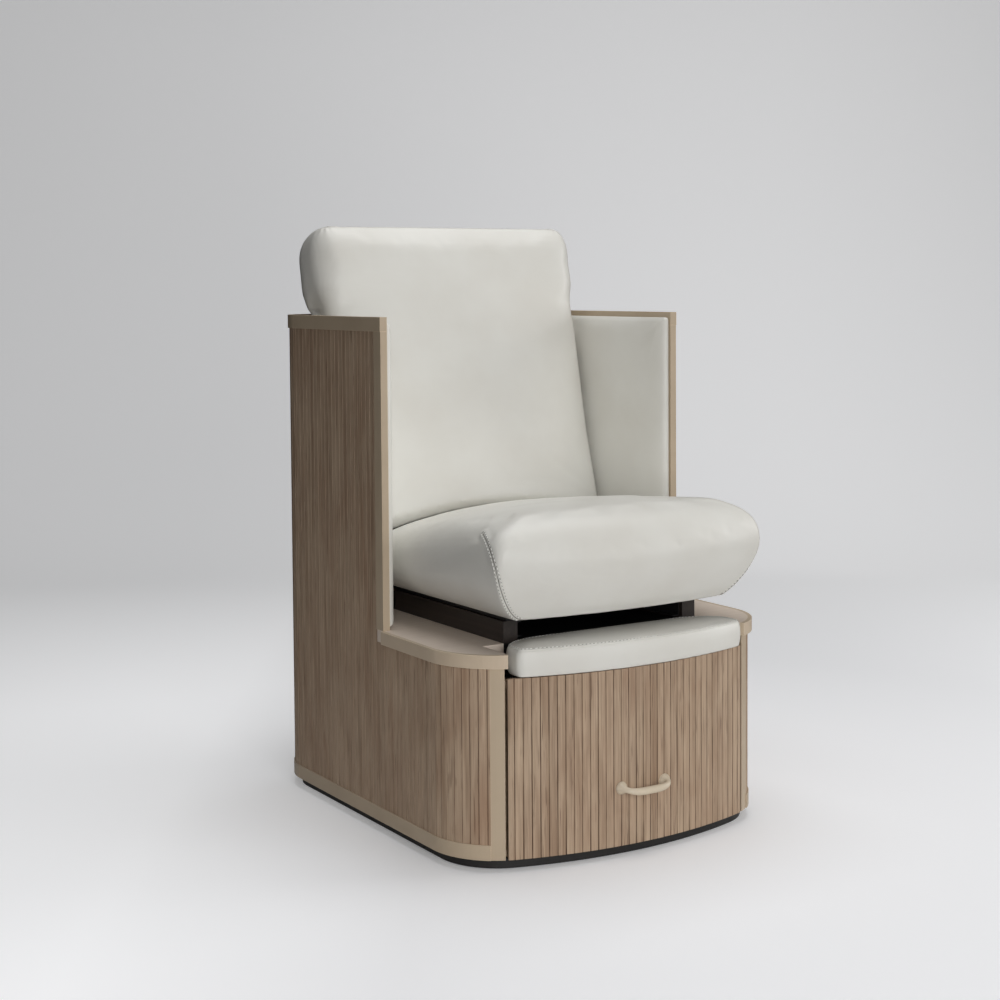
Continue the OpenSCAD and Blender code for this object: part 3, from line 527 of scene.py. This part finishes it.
def puff(obj, voxel, held, slack, most):
    """Fills a cushion with air: a short cloth simulation with its result applied.

    held(point) is how firmly a point is sewn down or rests, from 0 to 1. The cover starts
    smaller by slack, and no point moves further than most."""
    remesh = obj.modifiers.new("remesh", "REMESH")
    remesh.mode = "VOXEL"
    remesh.voxel_size = voxel
    applied(obj)
    points = obj.data.vertices
    hold = [held(v.co) for v in points]
    start = [v.co - v.normal * slack * (1 - h) for v, h in zip(points, hold)]
    for v, p in zip(points, start):
        v.co = p
    group = obj.vertex_groups.new(name="held")
    group.add([i for i, h in enumerate(hold) if h > PINNED], 1.0, "REPLACE")
    cloth = obj.modifiers.new("cloth", "CLOTH")
    cloth.settings.quality = 5
    cloth.settings.mass = 0.4
    cloth.settings.tension_stiffness = 25
    cloth.settings.compression_stiffness = 5
    cloth.settings.shear_stiffness = 5
    cloth.settings.bending_stiffness = 8
    cloth.settings.use_pressure = True
    cloth.settings.uniform_pressure_force = 4
    cloth.settings.vertex_group_mass = "held"
    cloth.settings.effector_weights.gravity = 0
    cloth.collision_settings.use_collision = False
    cloth.point_cache.frame_start, cloth.point_cache.frame_end = 1, PUFF_FRAMES
    for frame_number in range(1, PUFF_FRAMES + 1):
        bpy.context.scene.frame_set(frame_number)
    graph = bpy.context.evaluated_depsgraph_get()
    puffed = [v.co.copy() for v in obj.evaluated_get(graph).data.vertices]
    obj.modifiers.remove(cloth)
    bpy.context.scene.frame_set(1)
    for v, h, p, q in zip(obj.data.vertices, hold, start, puffed):
        move = q - p
        far = move.length
        v.co = p + move * ((1 - h) * most * math.tanh(far / most) / far if far > 1e-9 else 0)
    obj.data.update()
    calm = obj.modifiers.new("calm", "SMOOTH")
    calm.iterations = 3
    applied(obj)


def finer(obj):
    """One subdivision, put into the mesh."""
    obj.modifiers.new("finer", "SUBSURF").levels = 1
    applied(obj)


def surface_of(obj):
    """A search tree over a mesh's faces."""
    mesh = obj.data
    return BVHTree.FromPolygons([v.co.copy() for v in mesh.vertices],
                                [tuple(p.vertices) for p in mesh.polygons])


def shifted(obj, offset):
    """Moves each point of a mesh by offset(point, normal), with all normals read first."""
    ends = []
    for v in obj.data.vertices:
        ends.extend(v.co + offset(v.co, v.normal))
    obj.data.vertices.foreach_set("co", ends)
    obj.data.update()


def press(obj, path, deep, wide):
    """Draws a cushion's surface in along a path, as a seam does."""
    tree = path_tree(path)

    def offset(point, normal):
        near = tree.find_nearest(point, 3 * wide)[3]
        return Vector() if near is None else -deep * math.exp(-(near / wide) ** 2) * normal
    shifted(obj, offset)


def path_tree(path):
    """A search tree over a path, as thin slivers a hair wide."""
    verts = [p for point in path for p in (point, point + Vector((1e-5, 1e-5, 1e-5)))]
    faces = [(2 * i, 2 * i + 1, 2 * i + 3, 2 * i + 2) for i in range(len(path) - 1)]
    return BVHTree.FromPolygons(verts, faces)


def even(path, step):
    """The path's points, spaced evenly by about step."""
    lengths = [0.0]
    for a, b in zip(path, path[1:]):
        lengths.append(lengths[-1] + (b - a).length)
    count = max(2, round(lengths[-1] / step))
    points, k = [], 0
    for i in range(count + 1):
        s = lengths[-1] * i / count
        while k < len(path) - 2 and s > lengths[k + 1]:
            k += 1
        share = (s - lengths[k]) / max(1e-9, lengths[k + 1] - lengths[k])
        points.append(path[k].lerp(path[k + 1], share))
    return points


def laid(path, surface, lift=0.0):
    """The path's points put on a surface, with the surface's normals."""
    spots = [surface.find_nearest(p)[:2] for p in path]
    return [(place + normal * lift, normal) for place, normal in spots]


def tube_on(name, spots, radius, finish, closed=False):
    """A round cord along laid points."""
    rings = []
    count = len(spots)
    for i, (place, normal) in enumerate(spots):
        ahead = spots[(i + 1) % count if closed else min(i + 1, count - 1)][0]
        behind = spots[i - 1 if closed or i else 0][0]
        across = (ahead - behind).normalized().cross(normal).normalized()
        end = 0.35 if not closed and i in (0, count - 1) else 1.0
        rings.append([place + (normal * math.sin(a) + across * math.cos(a)) * radius * end
                      for a in [math.tau * j / 8 for j in range(8)]])
    if closed:
        verts = [p for ring in rings for p in ring]
        faces = [tuple(v % len(verts) for v in face) for face in grid_faces(count + 1, 8)]
        return mesh_object(name, verts, faces, finish)
    return mesh_object(name, *skin(rings), finish)


STITCH, STITCH_GAP, THREAD_R = 5.0 * MM, 2.6 * MM, 0.75 * MM
STITCH_SIZES = (0.4, 0.9, 1.0, 0.9, 0.4)    # a stitch's thickness along it, thin at its ends
STITCH_STEPS = len(STITCH_SIZES) + 1        # steps from one stitch to the next


def stitches(name, path, surface):
    """Short raised stitches in one mesh, along a path laid on a surface."""
    spots = laid(even(path, (STITCH + STITCH_GAP) / STITCH_STEPS), surface)
    last = len(STITCH_SIZES) - 1
    verts, faces = [], []
    for i in range(0, len(spots) - last, STITCH_STEPS):
        ahead = (spots[i + last][0] - spots[i][0]).normalized()
        rings = []
        for k, size in enumerate(STITCH_SIZES):
            place, normal = spots[i + k]
            across = ahead.cross(normal).normalized()
            centre = place + normal * THREAD_R * (0.1 + 0.55 * size)
            rings.append([centre + (normal * math.sin(a) + across * math.cos(a)) * THREAD_R * size
                          for a in [math.tau * j / 6 for j in range(6)]])
        first = len(verts)
        more_verts, more_faces = skin(rings)
        verts += more_verts
        faces += [tuple(first + v for v in face) for face in more_faces]
    return mesh_object(name, verts, faces, "thread")


def sewn(name, path, surface):
    """A row of stitches over a thin dark cord: painted shade for the fine line they draw into the
    cover.
    """
    line = tube_on(f"{name}_line", laid(even(path, 3 * MM), surface, -0.1 * MM), 0.5 * MM, "crease")
    return [line, stitches(f"{name}_stitches", path, surface)]


# Seat cushion -------------------------------------------------------------------

seat_low, seat_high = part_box("seat_cushion")
SEAT_BASE, SEAT_HALF = 232 * MM, seat_high.x        # half its width at the foot and at most
SEAT_FRONT, SEAT_REAR = FRONT_Y + 4 * MM, seat_high.y
SEAT_NOSE, SEAT_UNDERCUT = 20 * MM, 34 * MM         # the front's bulge, and its foot's setback
SEAT_TOP, SEAT_DROP = 640 * MM, 61 * MM             # the top's height, and its fall to the rear
SIDE_FALL, REAR_FALL = 2 * MM, 56 * MM              # its fall to the sides, and more at the rear
SEAT_BOW_R = 1350 * MM
SIDE_ROLL, FRONT_ROLL, REAR_ROLL = 46 * MM, 70 * MM, 30 * MM
WIDEST, ROLL_END = 0.6, 0.965                       # shares of the height
FLARE = 0.62                                        # less than 1 widens faster near the foot


def seat_ring(rise, inset, lift):
    """One ring of the seat: rise is its share of the way to the widest, inset how far it
    is drawn in at the side, front and rear, and lift its share of the height."""
    out = math.sin(math.pi / 2 * rise)
    wide = SEAT_BASE + (SEAT_HALF - SEAT_BASE) * out ** FLARE
    nose = SEAT_FRONT + SEAT_UNDERCUT * (1 - rise) ** 2 - SEAT_NOSE * out ** 1.5
    side_in, front_in, rear_in = inset
    corner = (7 + 8 * rise) * MM + min(front_in, side_in) * 0.9
    y0, y1 = nose + front_in, SEAT_REAR - rear_in
    ring = []
    for x, y in rounded(wide - side_in, y0, y1, corner, corner + 10 * MM):
        y += bow(x, SEAT_BOW_R) * (y1 - y) / (y1 - y0)
        back = max(0.0, (y - SEAT_FRONT) / (SEAT_REAR - SEAT_FRONT))
        aside = abs(x / SEAT_HALF)
        top = SEAT_TOP - SEAT_DROP * back ** 1.6
        top -= SIDE_FALL * aside ** 2.6 + REAR_FALL * back * aside ** 2
        ring.append(Vector((x, y, seat_low.z + (top - seat_low.z) * lift)))
    return ring


def along_ring(ring, index, shift):
    """The point of a ring a length on from one of its points."""
    step = 1 if shift > 0 else -1
    point, left = ring[index % len(ring)], abs(shift)
    while True:
        index += step
        ahead = ring[index % len(ring)]
        if (ahead - point).length >= left:
            return point.lerp(ahead, left / max(1e-9, (ahead - point).length))
        left -= (ahead - point).length
        point = ahead


def seat_rings():
    """The seat's rings, from its foot to its top, and the place of the last upright one."""
    rings = [seat_ring(0, (inset * MM,) * 3, 0) for inset in (150, 70, 20)]
    rings += [seat_ring(h, (0, 0, 0), h * WIDEST)
              for h in (0, 0.03, 0.08, 0.16, 0.26, 0.36, 0.47, 0.58, 0.7, 0.82, 0.92, 1)]
    walls_end = len(rings)
    for t in quarter(12):
        inward = 1 - math.cos(t)
        inset = (SIDE_ROLL * inward, FRONT_ROLL * inward, REAR_ROLL * inward)
        rings.append(seat_ring(1, inset, WIDEST + (ROLL_END - WIDEST) * math.sin(t)))
    for k in (0.08, 0.18, 0.3, 0.45, 0.6, 0.75, 0.9):
        inset = (SIDE_ROLL + 210 * MM * k, FRONT_ROLL + 170 * MM * k, REAR_ROLL + 170 * MM * k)
        rings.append(seat_ring(1, inset, ROLL_END + (1 - ROLL_END) * math.sin(math.pi / 2 * k)))
    return rings, walls_end


def seat_held(corner_trees):
    """The seat is held at its foot and along its corner seams."""
    def held(point):
        rest = 1.0 if point.z < seat_low.z + 3 * MM else 0.0
        near = min((tree.find_nearest(point, 40 * MM)[3] or 0.04) for tree in corner_trees)
        return max(rest, math.exp(-(near / (9 * MM)) ** 2))
    return held


SEAM_FOOT, SEAM_SWEEP = 7, 60               # in mm, ahead of the corner and back from there
TOPSTITCH = 4.4 * MM                        # from the seam to the row of stitches beside it


def corner_seam(rings, corner, toward_front):
    """A front corner's seam: up from just in front of the corner, then back along the side."""
    points = []
    for i, ring in enumerate(rings):
        ahead = (SEAM_FOOT - SEAM_SWEEP * (i / (len(rings) - 1)) ** 2.4) * MM
        points.append(along_ring(ring, corner, toward_front * ahead))
    return points


rings, walls_end = seat_rings()
seat = mesh_object("seat_upholstery", *skin(rings), "vinyl")
seam_rings = rings[3:walls_end + 6]
seams = [corner_seam(seam_rings, FRONT_LEFT, 1), corner_seam(seam_rings, FRONT_RIGHT, -1)]
seam_trees = [path_tree(even(seam, 4 * MM)) for seam in seams]
puff(seat, 6 * MM, seat_held(seam_trees), 1.5 * MM, 5 * MM)
finer(seat)
surface = surface_of(seat)
seams = [even([p for p, _ in laid(even(seam, 3 * MM), surface)], 3 * MM) for seam in seams]
for seam in seams:
    press(seat, seam, 1.3 * MM, 4 * MM)
surface = surface_of(seat)


def hairpin(seam):
    """A path up one side of a seam, round its top, and down the other."""
    spots = laid(seam, surface)
    sides = []
    for i, (place, normal) in enumerate(spots):
        ahead = (spots[min(i + 1, len(spots) - 1)][0] - spots[max(i - 1, 0)][0]).normalized()
        sides.append((place, ahead.cross(normal).normalized(), ahead))
    place, across, ahead = sides[-1]
    turn = [place + (across * math.cos(a) + ahead * math.sin(a)) * TOPSTITCH
            for a in [math.pi * i / 8 for i in range(1, 8)]]
    return ([p + a * TOPSTITCH for p, a, _ in sides] + turn
            + [p - a * TOPSTITCH for p, a, _ in reversed(sides)])


seat_trim = []
for side, seam in zip(("left", "right"), seams):
    spots = laid(seam, surface, -0.25 * MM)
    # a dark cord sunk into the seam: painted shade in the seam's crease
    seat_trim.append(tube_on(f"seat_seam_{side}", spots, 0.75 * MM, "crease"))
    seat_trim += sewn(f"seat_seam_{side}_row", hairpin(seam), surface)
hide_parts("seat_cushion")
for piece in [seat] + seat_trim:
    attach(piece, "seat")

# Back cushion -------------------------------------------------------------------

hinge = next(j for j in frame["joints"] if j["name"] == "back_recline")
LEAN = math.radians(11.5)
leaning = Matrix.Translation(Vector(hinge["pos_m"])) @ Matrix.Rotation(-LEAN, 4, "X")
BACK_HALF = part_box("back_cushion")[1].x
BACK_REAR, BACK_T = -30 * MM, 128 * MM
BACK_FOOT, BACK_H, DOME = 76 * MM, 606 * MM, 62 * MM
FOOT_R = 16 * MM
BACK_SWELL = 12 * MM                        # how much wider each side is clear of the rim
SWELL_START, SWELL_OVER = 500 * MM, 62 * MM
FOOT_DROOP, DROOP_OVER = 58 * MM, 110 * MM  # how far the lower corners hang, and over what
CROWN, BELLY = 3 * MM, 59 * MM              # the front's bulge at the top, and more at the foot
FRONT_CORNER, FRONT_MORE = 26 * MM, 18 * MM # the front corners' radius, and more at the top
FRONT_GROWS = (0.6, 0.85)                   # shares of the way up between which it grows
REAR_CORNER, REAR_MORE = 45 * MM, 24 * MM   # the rear corners' radius, and more low down
REAR_SHRINKS = 0.8                          # the share of the way up where that has faded
BODY_STEPS, DOME_STEPS = 24, 3              # the body's and the dome's parts of the way up


def unit(value):
    """The value, kept between 0 and 1."""
    return min(1, max(0, value))


def back_ring(z, side, nose, tail, v):
    """One ring of the back, z up its lean, drawn in at the side, front and rear. v is its
    share of the way up, from 0 at the foot to 1 at the top."""
    swell = unit((z - SWELL_START) / SWELL_OVER)
    a = BACK_HALF - side + BACK_SWELL * swell * swell * (3 - 2 * swell)
    y0, y1 = BACK_REAR - BACK_T + nose, BACK_REAR - tail
    room = (y1 - y0) / BACK_T
    bulge = CROWN + BELLY * (1 - v) ** 1.35
    grown = unit((v - FRONT_GROWS[0]) / (FRONT_GROWS[1] - FRONT_GROWS[0]))
    front_c = FRONT_CORNER + FRONT_MORE * grown
    rear_c = REAR_CORNER + REAR_MORE * unit(2.6 * (REAR_SHRINKS - v)) ** 1.6
    low = FOOT_DROOP * max(0.0, 1 - (z - BACK_FOOT) / DROOP_OVER) ** 1.5
    ring = []
    for x, y in rounded(a, y0, y1, front_c * room, rear_c * room):
        out = bulge * (1 - (x / a) ** 2) * ((y1 - y) / (y1 - y0)) ** 2
        ring.append(leaning @ Vector((x, y - out, z - low * (x / BACK_HALF) ** 2)))
    return ring


def back_rings():
    """The back's rings, from its foot up over its dome."""
    body = BACK_H - DOME
    steps = BODY_STEPS + DOME_STEPS
    rings = [back_ring(BACK_FOOT, side * MM, side * MM * 0.55, 40 * MM, 0)
             for side in (170, 90, 40)]
    for i in range(8):
        t = math.pi / 2 * (1 - i / 7)
        inward = FOOT_R * math.sin(t)
        rings.append(back_ring(BACK_FOOT + FOOT_R * (1 - math.sin(t)), inward, inward, 0, 0))
    rings += [back_ring(BACK_FOOT + FOOT_R + (body - FOOT_R) * i / BODY_STEPS, 0, 0, 0, i / steps)
              for i in range(1, BODY_STEPS + 1)]
    for t in quarter(12):
        c, rise = 1 - math.cos(t), math.sin(t)
        rings.append(back_ring(BACK_FOOT + body + DOME * rise, 38 * MM * c, 26 * MM * c,
                               74 * MM * c, (BODY_STEPS + DOME_STEPS * rise) / steps))
    rings.append(back_ring(BACK_FOOT + BACK_H + 0.6 * MM, 90 * MM, 30 * MM, 80 * MM, 1))
    return rings


upright = leaning.inverted()


def back_held(point):
    """The back is held low down, and on its rear up to where the dome begins."""
    p = upright @ point
    if p.z < BACK_FOOT + 150 * MM:
        return min(1.0, (BACK_FOOT + 150 * MM - p.z) / (140 * MM))
    to_dome = (BACK_FOOT + BACK_H - DOME - p.z) / (120 * MM)
    return unit(to_dome) if p.y > BACK_REAR - 2 * MM else 0.0


back = mesh_object("back_upholstery", *skin(back_rings()), "vinyl")
puff(back, 6 * MM, back_held, 1.5 * MM, 5 * MM)
finer(back)


def gather(obj, middle, reach, fold, deep):
    """Small folds round a point, where a cover is drawn together."""
    middle, facing, _, _ = surface_of(obj).find_nearest(middle)
    first = facing.orthogonal().normalized()
    second = facing.cross(first)

    def offset(point, normal):
        out = point - middle
        far = out.length
        if far > 3 * reach or normal.dot(facing) < -0.2:
            return Vector()
        turn = math.atan2(out.dot(second), out.dot(first))
        share = math.exp(-(far / reach) ** 2) * far / (far + 4 * MM)
        return normal * deep * share * (math.cos(fold * turn + 0.7 * math.sin(2 * turn)) - 0.6)
    shifted(obj, offset)


for side in (-1, 1):
    corner = Vector((side * (BACK_HALF - 30 * MM), BACK_REAR - 96 * MM,
                     BACK_FOOT + BACK_H - 12 * MM))
    gather(back, leaning @ corner, 22 * MM, 9, 1.8 * MM)
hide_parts("back_cushion")
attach(back, "back")

# Footrest ------------------------------------------------------------------------

foot_low, foot_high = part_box("footrest_pad")
FOOT_EDGE, FOOT_CROWN = foot_low.z + 50 * MM, 7 * MM
FOOT_PLAY = 4 * MM                          # its left side lies twice this in from the solid's
FOOT_BULGE = 5 * MM
FOOT_FRONT_C, FOOT_REAR_C = 15 * MM, 84 * MM


def footrest_ring(inset, z):
    """One ring of the footrest, drawn in by inset all round, with the drawer's bow."""
    a = foot_high.x - FOOT_PLAY - inset
    y0, y1 = foot_low.y + inset, foot_high.y - inset
    front_c = max(2 * MM, FOOT_FRONT_C - inset)
    rear_c = min(max(2 * MM, FOOT_REAR_C - inset), 0.8 * (y1 - y0) - front_c)
    return [Vector((x + FOOT_PLAY, y + bow(x, FRONT_R) * (y1 - y) / (y1 - y0), z))
            for x, y in rounded(a, y0, y1, front_c, rear_c)]


def footrest_rings():
    """The footrest's rings, from its foot to its crown."""
    z0, high = foot_low.z, FOOT_EDGE - foot_low.z
    rings = [footrest_ring(inset * MM, z0) for inset in (55, 30, 10)]
    rings += [footrest_ring(FOOT_BULGE * (1 - math.sin(math.pi * h) ** 0.6), z0 + high * h)
              for h in (0, 0.02, 0.05, 0.1, 0.18, 0.28, 0.4, 0.52, 0.64, 0.75, 0.85, 0.92, 0.97, 1)]
    for k in (0.04, 0.1, 0.18, 0.28, 0.4, 0.55, 0.7, 0.85):
        rise = math.sin(math.pi / 2 * min(1, 1.15 * k))
        rings.append(footrest_ring(FOOT_BULGE + 52 * MM * k, FOOT_EDGE + FOOT_CROWN * rise))
    return rings


def footrest_held(point):
    """The footrest's cover is held at its foot and along its upper edge."""
    if point.z < foot_low.z + 2 * MM:
        return 1.0
    if point.z < FOOT_EDGE + 1 * MM:
        return math.exp(-((point.z - FOOT_EDGE) / (3 * MM)) ** 2)
    return 0.0


footrest = mesh_object("footrest_upholstery", *skin(footrest_rings()), "vinyl")
puff(footrest, 4 * MM, footrest_held, 0.8 * MM, 2.5 * MM)
finer(footrest)
surface = surface_of(footrest)
rim = [p + Vector((0, 0, 3 * MM)) for p in footrest_ring(2 * MM, FOOT_EDGE)]
rim = [p for p, _ in laid(even(rim + rim[:1], 3 * MM), surface)]
press(footrest, rim, 1.0 * MM, 3 * MM)
surface = surface_of(footrest)
welt = tube_on("footrest_welt", laid(rim[:-1], surface, 0.2 * MM), 1.1 * MM, "vinyl", closed=True)
row = [p + Vector((0, 0, 5 * MM)) for p in footrest_ring(7.5 * MM, FOOT_EDGE)]
row = sewn("footrest_row", row + row[:1], surface)
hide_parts("footrest_pad")
for piece in [footrest, welt] + row:
    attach(piece, "footrest")

# Arm pads ------------------------------------------------------------------------

ARM_ROLL = 24 * MM
ARM_WALL, ARM_EDGE = 0.25, 0.85             # shares of the thickness between which it rolls


def arm_pad(side):
    """The padded liner inside an arm, at side -1 (left) or 1 (right)."""
    node = "arm_pad_left" if side < 0 else "arm_pad_right"
    low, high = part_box(node)
    wall = high.x if side > 0 else -low.x
    thick = wall - (low.x if side > 0 else -high.x)
    mid_z, half_z = (low.z + high.z) / 2, (high.z - low.z) / 2

    def ring(inset, depth):
        points = rounded(half_z - inset, low.y + inset, high.y - inset, 8 * MM, 8 * MM)
        turned = [Vector((side * (wall - depth), y, mid_z + z)) for z, y in points]
        return turned if side > 0 else turned[::-1]

    rings = [ring(inset * MM, 0) for inset in (120, 60, 20, 1)]
    rings += [ring(0, thick * depth) for depth in (0.05, 0.15, ARM_WALL)]
    for t in quarter(10):
        depth = ARM_WALL + (ARM_EDGE - ARM_WALL) * math.sin(t)
        rings.append(ring(ARM_ROLL * (1 - math.cos(t)), thick * depth))
    for k in (0.1, 0.25, 0.45, 0.7, 1.0):
        depth = ARM_EDGE + (1 - ARM_EDGE) * math.sin(math.pi / 2 * k)
        rings.append(ring(ARM_ROLL + 95 * MM * k, thick * depth))

    def held(point):
        return 1.0 if abs(point.x) > wall - 1.5 * MM else 0.0

    pad = mesh_object(node.replace("pad", "upholstery"), *skin(rings), "vinyl")
    puff(pad, 5 * MM, held, 0.8 * MM, 2 * MM)
    pad.modifiers.new("finer", "SUBSURF").levels = 1
    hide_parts(node)
    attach(pad, "base")


arm_pad(-1)
arm_pad(1)

# Floor, light and camera ------------------------------------------------------------

PHOTO_SIDE, FOCAL_PX, SHIFT_PX = 1000, 1773.4, -120
EYE = (-1.8965, -2.9735, 1.0379)
TURN, PITCH, ROLL = math.radians(-31.86), math.radians(3.095), math.radians(-0.399)
PAPER = (240, 241, 244)
PHOTO_SPAN = 0.42                           # of the glow's ramps, per metre across the view


def studio_paper():
    """Pale paper. The camera sees it evenly lit, with the chair's shadow on it; the light it
    gives back to the chair fades away from it, as on a narrow roll of paper in a dark room."""
    t = Tree("studio_backdrop")
    cloud = t.noise(t.place, 0.35, 2, 0.5)
    x, y, z = split(t)
    across = t.math("ADD", t.math("MULTIPLY", x, math.cos(TURN)),
                    t.math("MULTIPLY", y, math.sin(TURN)))
    across = t.math("ADD", t.math("MULTIPLY", across, PHOTO_SPAN), 0.5)
    seen = t.mix(cloud, linear(PAPER), linear([v - 4 for v in PAPER]))
    floor_glow = t.ramp(across, (0.2, 0.35), (0.42, 0.17), (0.9, 0.17))
    wall_glow = t.ramp(across, (0.0, 0.3), (1.0, 0.36))
    length = t.add("ShaderNodeVectorMath", operation="LENGTH")
    t.link(t.place, length.inputs[0])
    distance = length.outputs["Value"]
    far = t.ramp(t.math("DIVIDE", distance, 5.0), (0.3, 0.0), (0.6, 1.0))
    upper = t.math("MAXIMUM", t.ramp(z, (0.0, 0.0), (0.5, 1.0)), far)
    glow = t.mix(upper, floor_glow, wall_glow)
    given = t.ramp(t.math("DIVIDE", distance, 3.0), (0.18, 0.85), (0.55, 0.36), (0.9, 0.1))
    camera_ray = t.add("ShaderNodeLightPath").outputs["Is Camera Ray"]
    t.feed(t.shader.inputs["Emission Color"], glow)
    t.feed(t.shader.inputs["Emission Strength"], camera_ray)
    return t.finish(t.mix(camera_ray, given, seen), 0.8, Specular_IOR_Level=0.2)


def backdrop():
    """A pale floor that sweeps up into a pale wall."""
    half, front, rear, top, bend = 9.0, -9.0, 4.2, 7.0, 1.6
    profile = [(front, 0.0), (rear - bend, 0.0)]
    profile += [(rear - bend + bend * math.sin(t), bend - bend * math.cos(t))
                for t in quarter(12)]
    profile.append((rear, top))
    turn = Matrix.Rotation(TURN, 3, "Z")
    verts = [turn @ Vector((x, y, z)) for x in (-half, half) for y, z in profile]
    count = len(profile)
    faces = [(i, count + i, count + i + 1, i + 1) for i in range(count - 1)]
    mesh_object("backdrop", verts, faces, "backdrop")


finishes["backdrop"] = studio_paper()
backdrop()

SKY_LIGHT, SKY_GLOSS, SKY_SEEN = 0.04, 0.12, 0.6      # more for reflections and the camera


def pale_world():
    """A dim world that is pale where the camera or a reflection meets it."""
    world = bpy.data.worlds.new("studio")
    bpy.context.scene.world = world
    world.use_nodes = True
    sky, link = world.node_tree.nodes, world.node_tree.links.new
    sky["Background"].inputs["Color"].default_value = linear((236, 238, 242))
    path = sky.new("ShaderNodeLightPath")
    shiny, seen = sky.new("ShaderNodeMath"), sky.new("ShaderNodeMath")
    shiny.operation = seen.operation = "MULTIPLY_ADD"
    link(path.outputs["Is Glossy Ray"], shiny.inputs[0])
    shiny.inputs[1].default_value, shiny.inputs[2].default_value = SKY_GLOSS, SKY_LIGHT
    link(path.outputs["Is Camera Ray"], seen.inputs[0])
    seen.inputs[1].default_value = SKY_SEEN
    link(shiny.outputs[0], seen.inputs[2])
    link(seen.outputs[0], sky["Background"].inputs["Strength"])


pale_world()


def lamp(name, place, target, size, power, colour=(1, 1, 1)):
    """A rectangular lamp that looks at target and that the camera doesn't see."""
    light = bpy.data.lights.new(name, "AREA")
    light.shape = "RECTANGLE"
    light.size, light.size_y = size
    light.energy = power
    light.color = colour
    obj = bpy.data.objects.new(name, light)
    bpy.context.scene.collection.objects.link(obj)
    obj.location = place
    obj.rotation_euler = (Vector(target) - Vector(place)).to_track_quat("-Z", "Y").to_euler()
    obj.visible_camera = False
    return light


AIM = (0, 0, 0.5)
WARM = (1.0, 0.99, 0.98)
lamp("front_left", (-1.35, -3.5, 1.15), AIM, (1.8, 1.8), 54, WARM)
lamp("front_right", (1.0, -3.6, 0.9), AIM, (2.6, 1.6), 18, WARM)
lamp("right", (3.2, -1.2, 1.2), AIM, (1.8, 1.8), 35, WARM)
lamp("top", (0.3, 0.0, 3.4), AIM, (2.6, 2.6), 54)
low = lamp("left_low", (-2.5, -1.0, 0.4), (-0.3, -0.1, 0.1), (1.2, 0.5), 0.7)
low.spread = math.radians(80)

camera = bpy.data.cameras.new("camera")
camera.sensor_width = 36
camera.lens = FOCAL_PX * camera.sensor_width / PHOTO_SIDE
camera.shift_y = SHIFT_PX / PHOTO_SIDE
eye = bpy.data.objects.new("camera", camera)
bpy.context.scene.collection.objects.link(eye)
forward = Vector((-math.sin(TURN) * math.cos(PITCH), math.cos(TURN) * math.cos(PITCH),
                  -math.sin(PITCH)))
right = forward.cross(Vector((0, 0, 1))).normalized()
up = right.cross(forward)
eye_right = right * math.cos(ROLL) + up * math.sin(ROLL)
eye_up = up * math.cos(ROLL) - right * math.sin(ROLL)
axes = Matrix((eye_right, eye_up, -forward)).transposed()
eye.matrix_world = Matrix.Translation(EYE) @ axes.to_4x4()
bpy.context.scene.camera = eye
bpy.context.scene.view_settings.view_transform = "Standard"
